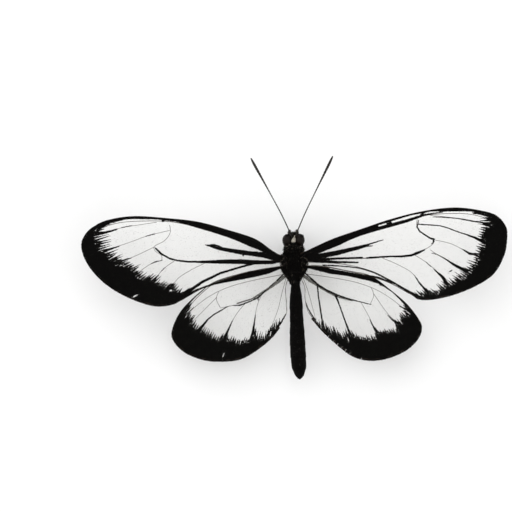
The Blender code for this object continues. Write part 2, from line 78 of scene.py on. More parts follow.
def ease(low, high, value):  # 0 below low, 1 above high, and smooth between
    t = np.clip((value - low) / (high - low), 0, 1)
    return t * t * (3 - 2 * t)


def unit(vectors):
    return vectors / np.maximum(np.linalg.norm(vectors, axis=-1, keepdims=True), 1e-12)


def arrayMesh(name, points, faces):  # a mesh in metres from points in millimetres in the butterfly's frame
    points = (np.asarray(points, float) + bodyShift) * mm
    faces = np.asarray(faces, np.int32)
    mesh = bpy.data.meshes.new(name)
    mesh.vertices.add(len(points))
    mesh.vertices.foreach_set("co", points.astype(np.float32).ravel())
    mesh.loops.add(faces.size)
    mesh.polygons.add(len(faces))
    mesh.polygons.foreach_set("loop_start", np.arange(len(faces), dtype=np.int32) * faces.shape[1])
    mesh.polygons.foreach_set("vertices", faces.ravel())
    mesh.update(calc_edges=True)
    mesh.shade_smooth()
    return mesh


def makeObject(name, mesh):
    piece = bpy.data.objects.new(name, mesh)
    bpy.context.scene.collection.objects.link(piece)
    return piece


def pick(piece):
    bpy.ops.object.select_all(action="DESELECT")
    piece.select_set(True)
    bpy.context.view_layer.objects.active = piece


def mend(piece, distance=1e-4):  # closes doubles and turns faces outwards; the distance is in millimetres
    pick(piece)
    bpy.ops.object.mode_set(mode="EDIT")
    bpy.ops.mesh.select_all(action="SELECT")
    bpy.ops.mesh.remove_doubles(threshold=distance * mm)
    bpy.ops.mesh.normals_make_consistent(inside=False)
    bpy.ops.object.mode_set(mode="OBJECT")
    piece.data.shade_smooth()


def settle(piece, material, nodes=()):
    piece.data.materials.clear()
    piece.data.materials.append(material)
    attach(piece, "root")
    if nodes:
        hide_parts(*nodes)
    return piece


def sweep(name, lines, roundness=2):  # lines of (points, radii) as tubes with closed ends
    curve = bpy.data.curves.new(name, "CURVE")
    curve.dimensions = "3D"
    curve.bevel_depth = mm
    curve.bevel_resolution = roundness
    curve.use_fill_caps = True
    for points, radii in lines:
        spline = curve.splines.new("POLY")
        spline.points.add(len(points) - 1)
        for place, point, radius in zip(spline.points, points, radii):
            place.co = (*(np.asarray(point) + bodyShift) * mm, 1)
            place.radius = radius
    piece = makeObject(name, curve)
    pick(piece)
    bpy.ops.object.convert(target="MESH")
    piece = bpy.context.view_layer.objects.active
    mend(piece)
    return piece


# Coats of scales and hairs. A shape's points are (along, across, thick, lift): across and thick grow with the
# width, along and lift with the length.
leafScale = {
    "points": [(0, 0, 0, 0), (0.4, -0.5, 0, 0.03), (0.95, -0.33, 0, 0.11), (0.99, 0.27, 0, 0.11),
               (0.45, 0.5, 0, 0.03), (0.5, 0, -0.2, 0)],
    "faces": [(0, 1, 2), (0, 2, 3), (0, 3, 4), (1, 0, 5), (2, 1, 5), (3, 2, 5), (4, 3, 5), (0, 4, 5)],
}
fineHair = {
    "points": [(0, -0.5, 0, 0), (0, 0.5, 0, 0), (0, 0, 0.8, 0), (0.5, -0.36, 0, 0.1), (0.5, 0.36, 0, 0.1),
               (0.5, 0, 0.58, 0.1), (1, 0, 0, 0.3)],
    "faces": [(0, 1, 4), (0, 4, 3), (1, 2, 5), (1, 5, 4), (2, 0, 3), (2, 3, 5), (3, 4, 6), (4, 5, 6),
              (5, 3, 6), (0, 2, 1)],
}
patchSize = 0.003  # of one scale or hair on the OFBake map


def layCoat(shape, roots, forward, up, lengths, widths, tones, unwrap, tipTone=0.0):
    forward = unit(forward - up * np.sum(forward * up, axis=1, keepdims=True))
    across = np.cross(up, forward)
    u, v, thick, lift = np.array(shape["points"], float).T
    size = lambda values: values[:, None, None]
    points = (
        roots[:, None, :]
        + forward[:, None, :] * u[None, :, None] * size(lengths)
        + across[:, None, :] * v[None, :, None] * size(widths)
        + up[:, None, :] * (thick[None, :, None] * size(widths) + lift[None, :, None] * size(lengths))
    )
    faces = np.array(shape["faces"])[None] + (np.arange(len(roots)) * len(u))[:, None, None]
    # a patch stays whole inside the map, also beside the seam
    places = np.clip(unwrap, patchSize, 1 - patchSize)
    patch = places[:, None, :] + np.stack([u - 0.5, v], axis=1)[None] * patchSize
    tone = tones[:, None] + tipTone * u[None, :]
    return points.reshape(-1, 3), faces.reshape(-1, 3), patch.reshape(-1, 2), tone.ravel()


def coatPiece(name, layers, material, mirror=1):
    points, faces, patches, tones = zip(*layers)
    before = np.cumsum([0] + [len(layer) for layer in points])
    faces = np.concatenate([layer + count for layer, count in zip(faces, before)])
    points = np.concatenate(points)
    if mirror < 0:
        points, faces = points * (-1, 1, 1), faces[:, ::-1]
    mesh = arrayMesh(name, points, faces)
    tone = mesh.attributes.new("tone", "FLOAT", "POINT")
    tone.data.foreach_set("value", np.clip(np.concatenate(tones), 0, 1).astype(np.float32))
    bake = mesh.uv_layers.new(name="OFBake")
    bake.data.foreach_set("uv", np.concatenate(patches)[faces.ravel()].astype(np.float32).ravel())
    print("coat", name, len(faces), "triangles")
    return settle(makeObject(name, mesh), material)


# Materials

def newMaterial(name):
    material = bpy.data.materials.new(name)
    material.use_nodes = True
    return material, material.node_tree, material.node_tree.nodes["Principled BSDF"]


def addNode(tree, kind, **values):
    node = tree.nodes.new(kind)
    for key, value in values.items():
        setattr(node, key, value)
    return node


def fill(node, **values):
    for key, value in values.items():
        node.inputs[key.replace("_", " ")].default_value = value
    return node


def join(tree, source, target):
    tree.links.new(source, target)


def makeMottle():  # soft patches and fine grain on object coordinates, as one value and a height
    group = bpy.data.node_groups.new("mottleAndGrain", "ShaderNodeTree")
    for name, value in (("Patch Scale", 400.0), ("Grain Scale", 4000.0), ("Grain Share", 0.4)):
        group.interface.new_socket(name, in_out="INPUT", socket_type="NodeSocketFloat").default_value = value
    for name in ("Mottle", "Height"):
        group.interface.new_socket(name, in_out="OUTPUT", socket_type="NodeSocketFloat")
    source, target = group.nodes.new("NodeGroupInput"), group.nodes.new("NodeGroupOutput")
    place = group.nodes.new("ShaderNodeTexCoord")
    patches = addNode(group, "ShaderNodeTexNoise")
    fill(patches, Detail=3.0)
    grain = addNode(group, "ShaderNodeTexNoise")
    fill(grain, Detail=2.0)
    for noise, name in ((patches, "Patch Scale"), (grain, "Grain Scale")):
        join(group, place.outputs["Object"], noise.inputs["Vector"])
        join(group, source.outputs[name], noise.inputs["Scale"])
    mix = addNode(group, "ShaderNodeMix", data_type="FLOAT")
    join(group, source.outputs["Grain Share"], mix.inputs["Factor"])
    join(group, patches.outputs["Fac"], mix.inputs["A"])
    join(group, grain.outputs["Fac"], mix.inputs["B"])
    join(group, mix.outputs["Result"], target.inputs["Mottle"])
    join(group, grain.outputs["Fac"], target.inputs["Height"])
    return group


mottleGroup = makeMottle()


def useMottle(tree, patchScale, grainScale, grainShare):
    node = addNode(tree, "ShaderNodeGroup", node_tree=mottleGroup)
    node.inputs["Patch Scale"].default_value = patchScale
    node.inputs["Grain Scale"].default_value = grainScale
    node.inputs["Grain Share"].default_value = grainShare
    return node


def ramp(tree, source, stops):
    node = addNode(tree, "ShaderNodeValToRGB")
    while len(node.color_ramp.elements) < len(stops):
        node.color_ramp.elements.new(0.5)
    for element, (place, colour) in zip(node.color_ramp.elements, stops):
        element.position = place
        element.color = (*colour, 1)
    join(tree, source, node.inputs["Fac"])
    return node.outputs["Color"]


def spread(tree, source, low, high):
    node = addNode(tree, "ShaderNodeMapRange")
    fill(node, To_Min=low, To_Max=high)
    join(tree, source, node.inputs["Value"])
    return node.outputs["Result"]


def bumped(tree, shader, height, distance, strength):
    node = addNode(tree, "ShaderNodeBump")
    fill(node, Distance=distance * mm, Strength=strength)
    join(tree, height, node.inputs["Height"])
    join(tree, node.outputs["Normal"], shader.inputs["Normal"])


# Every coat takes its colour from its own tone, 0 to 1, darkened and lightened in patches
coatFinish = {"patchScale": 700.0, "grainScale": 9000.0, "grainShare": 0.5, "bump": 0.012,
              "bumpStrength": 0.35, "patches": [(0.3, (0.7, 0.7, 0.7)), (0.7, (1.25, 1.22, 1.18))]}


def toneMaterial(name, stops, roughness, specular):
    material, tree, shader = newMaterial(name)
    tone = addNode(tree, "ShaderNodeAttribute", attribute_name="tone")
    mottle = useMottle(tree, coatFinish["patchScale"], coatFinish["grainScale"], coatFinish["grainShare"])
    colour = ramp(tree, tone.outputs["Fac"], stops)
    shade = addNode(tree, "ShaderNodeMix", data_type="RGBA", blend_type="MULTIPLY")
    shade.inputs["Factor"].default_value = 1.0
    join(tree, colour, shade.inputs["A"])
    join(tree, ramp(tree, mottle.outputs["Mottle"], coatFinish["patches"]), shade.inputs["B"])
    join(tree, shade.outputs["Result"], shader.inputs["Base Color"])
    join(tree, spread(tree, mottle.outputs["Mottle"], *roughness), shader.inputs["Roughness"])
    fill(shader, Specular_IOR_Level=specular)
    bumped(tree, shader, mottle.outputs["Height"], coatFinish["bump"], coatFinish["bumpStrength"])
    return material


inkBlack, sootBrown = (0.0022, 0.002, 0.0019), (0.01, 0.0075, 0.006)
blackScales = toneMaterial(
    "wingScaleBlack",
    [(0.0, inkBlack), (0.6, (0.004, 0.0036, 0.0033)), (1.0, sootBrown)],
    (0.55, 0.8), 0.07)
underScales = toneMaterial(
    "wingScaleUnder",
    [(0.0, (0.012, 0.008, 0.006)), (0.5, (0.03, 0.018, 0.011)), (1.0, (0.07, 0.035, 0.016))],
    (0.55, 0.8), 0.15)
bodyHair = toneMaterial(
    "bodyHair",
    [(0.0, (0.002, 0.0018, 0.0017)), (0.55, (0.005, 0.0042, 0.0036)), (0.75, (0.04, 0.03, 0.022)),
     (0.88, (0.35, 0.31, 0.25)), (1.0, (0.8, 0.77, 0.68))],
    (0.55, 0.85), 0.06)


def skinMaterial(name, dark, light, roughness, specular, patchScale, bump, coat=0.0):
    material, tree, shader = newMaterial(name)
    mottle = useMottle(tree, patchScale, patchScale * 7, 0.35)
    colour = ramp(tree, mottle.outputs["Mottle"], [(0.35, dark), (0.7, light)])
    join(tree, colour, shader.inputs["Base Color"])
    join(tree, spread(tree, mottle.outputs["Mottle"], *roughness), shader.inputs["Roughness"])
    fill(shader, Specular_IOR_Level=specular, Coat_Weight=coat, Coat_Roughness=0.15)
    bumped(tree, shader, mottle.outputs["Height"], bump, 0.4)
    return material


skins = {  # darkest and lightest colour, roughness, specular level, patches, bump in mm, clear coat
    "bodySkin": ((0.004, 0.0036, 0.0033), (0.012, 0.01, 0.008), (0.4, 0.65), 0.2, 600.0, 0.02),
    "veinHorn": ((0.018, 0.011, 0.007), (0.06, 0.038, 0.022), (0.35, 0.55), 0.2, 900.0, 0.01),
    "legHorn": ((0.006, 0.005, 0.004), (0.025, 0.019, 0.014), (0.35, 0.55), 0.3, 1200.0, 0.01),
    "feelerHorn": ((0.006, 0.005, 0.004), (0.022, 0.016, 0.012), (0.35, 0.55), 0.25, 2500.0, 0.008),
    "eyeLens": ((0.003, 0.0018, 0.0014), (0.01, 0.0055, 0.0032), (0.2, 0.32), 0.1, 500.0, 0.0, 0.04),
}
bodySkin, veinHorn, legHorn, feelerHorn, eyeLens = (
    skinMaterial(name, *values) for name, values in skins.items())


paneFinish = {"patchScale": 250.0, "grainScale": 1800.0, "grainShare": 0.3, "alpha": (0.05, 0.09),
              "tints": [(0.3, (0.72, 0.71, 0.66)), (0.7, (0.85, 0.84, 0.8))], "roughness": (0.18, 0.34),
              "filmNanometres": 380.0, "filmIndex": 1.45, "bump": 0.03, "bumpStrength": 0.3}


def paneMaterial():
    finish = paneFinish
    material, tree, shader = newMaterial("clearPane")
    ground = addNode(tree, "ShaderNodeAttribute", attribute_name="ground")
    mottle = useMottle(tree, finish["patchScale"], finish["grainScale"], finish["grainShare"])
    clear = ramp(tree, mottle.outputs["Mottle"], finish["tints"])
    colour = addNode(tree, "ShaderNodeMix", data_type="RGBA")
    join(tree, ground.outputs["Fac"], colour.inputs["Factor"])
    join(tree, clear, colour.inputs["A"])
    colour.inputs["B"].default_value = (*inkBlack, 1)
    join(tree, colour.outputs["Result"], shader.inputs["Base Color"])
    alpha = addNode(tree, "ShaderNodeMix", data_type="FLOAT")
    join(tree, ground.outputs["Fac"], alpha.inputs["Factor"])
    join(tree, spread(tree, mottle.outputs["Mottle"], *finish["alpha"]), alpha.inputs["A"])
    alpha.inputs["B"].default_value = 1.0
    join(tree, alpha.outputs["Result"], shader.inputs["Alpha"])
    join(tree, spread(tree, mottle.outputs["Mottle"], *finish["roughness"]), shader.inputs["Roughness"])
    fill(shader, Specular_IOR_Level=0.5, Thin_Film_Thickness=finish["filmNanometres"],
         Thin_Film_IOR=finish["filmIndex"])
    bumped(tree, shader, mottle.outputs["Height"], finish["bump"], finish["bumpStrength"])
    return material


clearPane = paneMaterial()
print("materials made")


# Wings. Outlines run clockwise from the root's front corner; tip is the number of the point where front and
# rear edge meet. Veins: points, and by name their radius at the root and at the end, or that of a fine vein.
# Inner: the dark border's inner edge, closed behind the body by the corners. ToothRuns: for how many of its
# points the longest teeth have which length. Strokes of black, and bare slits in the border: (x, y, half
# width). Unwrap: a shift in x and in y, and the span it is divided by.
foreWing = {
    "name": "forewing",
    "outline": {
        "R": [
            (1.2, 1.95), (3.95, 3.12), (7.5, 4.6), (12.55, 6.2), (18.05, 7.9), (24, 9.25), (30, 9.85),
            (34.8, 9.25), (38.05, 8.1), (39.7, 6.1), (39.9, 3.8), (39.25, 0.6), (37.3, -2.75),
            (34.05, -4.9), (30.1, -6.45), (26.55, -7.25), (23.6, -7.3), (21.5, -6.15), (17.85, -4.08),
            (14.4, -2.8), (10.45, -1.75), (6.6, -0.9), (1.2, -0.15)],
        "L": [
            (1.2, 0.9), (4.05, 2.6), (7.35, 4.95), (12.4, 6.75), (17.95, 8.4), (24, 9.25), (30, 9.75),
            (34.75, 9.15), (37.8, 7.75), (39.45, 5.95), (39.8, 3.8), (38.7, 0.85), (36.5, -1.95),
            (33.65, -4.25), (30, -6.15), (26.55, -7.25), (23.6, -7.15), (21.4, -6.25), (17.75, -4.35),
            (14.2, -3.05), (10.5, -1.75), (6.6, -0.95), (1.2, -0.2)],
    },
    "tip": 10, "columns": 176, "rows": 76, "seedStep": 0,
    "veinRadii": {"costa": (0.16, 0.08), "radius": (0.12, 0.045), "cubitus": (0.12, 0.06),
                  "anal": (0.07, 0.04), "cellEnd": (0.045, 0.045)},
    "fineVein": (0.045, 0.035),
    "sideVeins": {
        "R": {
            "costa": [(1.2, 1.2), (4, 2.4), (7.5, 4.2), (12.5, 5.9), (18, 7.65), (24, 9.05), (30, 9.6)],
            "radius": [(1.2, 0.9), (6.5, 2.8), (12, 4.95), (16.2, 6.3), (21, 7.5), (25.7, 8.6),
                       (32.5, 8.6), (37.4, 7.3)],
            "media1": [(23.3, 6.85), (27, 6.6), (31.1, 5.2), (35.2, 3.5), (38.9, 1.6)],
            "media2": [(26.2, 3.9), (29.6, 3), (33, 1.1), (37.2, -0.8)],
            "media3": [(25.6, 2), (26.7, 1.2), (30, -0.9), (33.8, -3.8)],
            "cubital1": [(22.4, 1.25), (24.8, -0.35), (27.2, -2.6), (29.2, -5.9)],
            "anal": [(2.2, 0.3), (8.4, -0.15), (14, -1.5), (18.2, -3.6), (22.4, -6.3)],
        },
        "L": {
            "costa": [(1.2, 1.2), (4, 2.25), (7.5, 4.5), (12.5, 6.4), (18, 8.1), (24, 9.05), (30, 9.5)],
            "radius": [(1.2, 0.9), (6.5, 3), (12, 5.45), (16.2, 6.75), (21, 8.15), (25.7, 8.75),
                       (32.5, 8.6), (37, 7.3)],
            "media1": [(23.3, 6.9), (26.2, 6.3), (27.8, 5.9), (31, 4.8), (35.35, 3.4), (38.9, 1.6)],
            "media2": [(26.2, 3.9), (28.6, 2.8), (30.65, 1.95), (33.35, 1.2), (37.2, -0.6)],
            "media3": [(25.1, 2.5), (24.9, 1.4), (26.9, 0.75), (30, -1.3), (33, -3.6)],
            "cubital1": [(22.4, 1.25), (24.3, 0), (25.1, -0.8), (26.5, -2.35), (29, -5.6)],
            "anal": [(2.2, 0.35), (8.4, 0.2), (14, -1.5), (18.2, -3.45), (22.4, -6.1)],
        },
    },
    "veins": {
        "fork": [(25.7, 8.5), (28.9, 8.1), (32.3, 7.6), (36.2, 6.6), (39, 5.4)],
        "cellEnd": [(23.3, 7.9), (23.2, 6.5), (24.3, 5), (26.3, 3.9), (25.6, 2.7), (22.4, 1.25)],
        "cubitus": [(1.2, 0.6), (7, 0.75), (13.6, 0.75), (18.6, 0.95), (22.4, 1.25)],
        "cubital2": [(16.6, 0.7), (19.8, -0.8), (22.4, -2.6), (24.9, -6.6)],
    },
    "inner": {
        "R": [
            (33.85, 9.4), (34.15, 8.65), (36.15, 8.35), (36.3, 6.8), (36, 6.1), (35.6, 5), (35.4, 3.9),
            (35.8, 2.75), (35, 2), (34.8, 0.95), (34.2, 0.2), (34, -0.7), (33.1, -1.7), (32.55, -2.4),
            (31.85, -3), (30.55, -3.5), (29.9, -4.1), (29.2, -4.5), (28.4, -4.75), (27.5, -5.3),
            (26.95, -6), (25.45, -6.1), (24.35, -6.15), (23.15, -6.5), (22.35, -7.4)],
        "L": [
            (31.8, 9.7), (33, 9.15), (34.35, 8.85), (35.65, 8.1), (36.45, 7.4), (36.95, 6.6), (36.8, 5.6),
            (36.3, 4.7), (36, 4), (35.25, 3.2), (34.65, 2.5), (33.55, 1.7), (32.65, 0.9), (31.45, 0.6),
            (30.55, 0.2), (29.95, -0.5), (29.55, -1.2), (28.7, -1.8), (27.5, -2.1), (26.5, -2.4), (26, -3),
            (24.9, -3.2), (24.1, -3.5), (23.1, -3.4), (22.8, -4.1), (22.1, -4.5), (21.3, -5), (20.4, -4.6),
            (19.7, -4.3), (19.05, -5.4)],
    },
    "toothRuns": {"R": [(2, 1), (2, 2), (3, 1), (10, 1.5), (8, 1.1)],
                  "L": [(4, 1.3), (3, 2.1), (7, 1.9), (6, 1.3), (10, 0.9)]},
    "corners": [(12, -12), (-5, -12), (-5, 16), (30, 16)],
    "strokes": {
        "R": [
            [(1.55, 1.5, 0.6), (2.65, 2, 0.72), (4.05, 2.5, 0.8), (8.05, 4.02, 0.85), (10.05, 4.85, 0.76),
             (12.05, 5.6, 0.74), (15.25, 6.5, 0.74)],
            [(15.05, 6.97, 0.35), (22.05, 8.9, 0.32), (26, 9.5, 0.27), (28, 9.5, 0.36), (32, 9.45, 0.36),
             (33.95, 9.3, 0.36), (35.95, 8.95, 0.45)],
            [(15.05, 6.05, 0.36), (21.05, 7.5, 0.3), (24.6, 8.6, 0.2), (26.2, 8.85, 0.1), (28, 9.05, 0.1)],
            [(23.8, 8.4, 0.16), (24.65, 9.1, 0.2)],
            [(17.65, 7.1, 0.2), (18.25, 7.3, 0.2)],
            [(2.65, 1.15, 0.5), (4.4, 1.3, 0.5), (6.05, 1.55, 0.48), (8.05, 1.88, 0.46),
             (12.05, 2.74, 0.34), (13.35, 3.08, 0.26), (14.25, 3.4, 0.14), (16.75, 4.1, 0.06)],
            [(12.55, 2.72, 0.1), (13.65, 2.97, 0.1), (14.75, 3.05, 0.08)],
            [(2.6, 0.7, 0.24), (8, 0.82, 0.2), (12.75, 0.85, 0.17)],
            [(13.65, 0.78, 0.18), (18.05, 0.98, 0.15), (20, 0.9, 0.19), (22, 1.08, 0.2), (23.2, 1.52, 0.26),
             (24.4, 2, 0.12)],
            [(2.6, 0.55, 0.2), (4.55, 0.42, 0.32), (8.05, 0.15, 0.21), (11.9, 0, 0.13)],
            [(5.4, -0.35, 0.1), (7.6, -0.5, 0.12), (10, -0.75, 0.1), (12.4, -1.12, 0.11),
             (15.05, -2.02, 0.12), (18.4, -3.93, 0.15), (22.05, -6.15, 0.26), (23.05, -6.85, 0.35)],
            [(13.2, -2.35, 0.08), (15.8, -2.95, 0.16), (16.9, -3.45, 0.14), (18.1, -3.92, 0.14),
             (18.6, -4.1, 0.14)],
            [(26.2, 8.2, 0.05), (28.5, 8.05, 0.08), (30.95, 7.75, 0.08), (33.45, 7.2, 0.11),
             (34.9, 7, 0.13), (36.7, 6.5, 0.3)],
            [(23.5, 6.9, 0.12), (27.5, 6.5, 0.09), (28.95, 6.05, 0.11), (30.95, 5.2, 0.08),
             (32.4, 4.7, 0.11), (33.9, 4.1, 0.2), (35.8, 3.1, 0.36)],
            [(31.35, 2.1, 0.05), (32.9, 1.1, 0.24), (34.1, 1, 0.16), (35, 1, 0.2)],
            [(25.85, 1.4, 0.05), (26.75, 1.15, 0.06), (28.25, 0.3, 0.11), (29.85, -0.85, 0.22),
             (32.25, -2.2, 0.36)],
            [(24.7, -0.25, 0.06), (25.6, -1.1, 0.07)],
            [(26.1, -1.6, 0.06), (27.8, -3.2, 0.28), (28.4, -4.3, 0.36)],
            [(22.4, -2.5, 0.05), (23.3, -4, 0.13), (24.25, -5.2, 0.2), (24.95, -5.9, 0.32)],
            [(29, -2.2, 0.08), (29.45, -1.95, 0.09)],
            [(23.5, 7.65, 0.06), (23.2, 6.4, 0.13), (23.7, 5.5, 0.13), (25.6, 4.2, 0.15), (26.25, 4, 0.2),
             (26.15, 3.4, 0.1), (25.8, 3.1, 0.05)],
        ],
        "L": [
            [(1.45, 1.2, 0.4), (2.6, 1.35, 0.5), (4, 2.2, 0.8), (6, 3.55, 0.95), (8, 4.45, 1),
             (10, 5.35, 0.95), (12, 6.08, 0.84), (16, 7.33, 0.7), (22, 8.92, 0.42), (26, 9.38, 0.33),
             (30, 9.55, 0.34), (31.5, 9.48, 0.33), (34.45, 8.95, 0.42), (35.95, 8.35, 0.6)],
            [(24.4, 8.85, 0.24), (24.5, 8.75, 0.24)],
            [(2.6, 0.9, 0.35), (4, 1.35, 0.55), (5.6, 1.85, 0.55), (8, 2.15, 0.44), (10, 2.47, 0.44),
             (14, 3.25, 0.32), (15.2, 3.65, 0.28), (16.6, 4.02, 0.08)],
            [(9.6, 2.1, 0.28), (9.6, 1.86, 0.13)],
            [(13.6, 3.5, 0.1), (14.9, 4, 0.14), (15.6, 4.05, 0.08)],
            [(2.6, 0.65, 0.25), (4.2, 0.4, 0.33), (8, 0.52, 0.42), (10, 0.7, 0.44), (14, 0.78, 0.37),
             (18, 0.84, 0.2), (20, 0.95, 0.17), (22, 1.22, 0.15), (23.5, 1.65, 0.16), (25, 2.6, 0.16),
             (26, 3.6, 0.14)],
            [(7.6, 0.25, 0.16), (9, -0.05, 0.18), (10, -0.28, 0.18), (14, -1.38, 0.21), (17.5, -2.98, 0.25),
             (19, -3.98, 0.27), (20.5, -4.85, 0.38)],
            [(8.2, -1.1, 0.05), (12.9, -2.5, 0.1), (14.9, -3.15, 0.12), (16.9, -3.87, 0.15),
             (19.4, -4.75, 0.19), (20.3, -5.15, 0.2)],
            [(30.4, 8, 0.08), (32.25, 7.65, 0.06)],
            [(33.05, 7.4, 0.12), (34.45, 7, 0.18), (36.95, 6.5, 0.32)],
            [(26.2, 6.3, 0.1), (27.8, 5.9, 0.05)],
            [(32.75, 4.2, 0.08), (35.35, 3.4, 0.25)],
            [(30.65, 1.9, 0.06), (33.35, 1.2, 0.25)],
            [(24.7, 1.35, 0.05), (26, 1.1, 0.1), (26.9, 0.75, 0.05)],
            [(24.3, 0, 0.05), (25.1, -0.8, 0.05)],
            [(25.6, -1.45, 0.07), (26.5, -2.3, 0.25)],
        ],
    },
    "slits": {
        "R": [],
        "L": [
            [(29.5, -4.95, 0.05), (30.1, -5.25, 0.12), (30.5, -5.5, 0.06)],
            [(23.3, -4.35, 0.17), (23.5, -4.4, 0.15)],
        ],
    },
    "teeth": {"step": 0.46, "width": 0.17, "slit": 0.5, "slitWidth": 0.095, "inward": 0.18},
    "unwrap": (0.5, 20, 42),
}
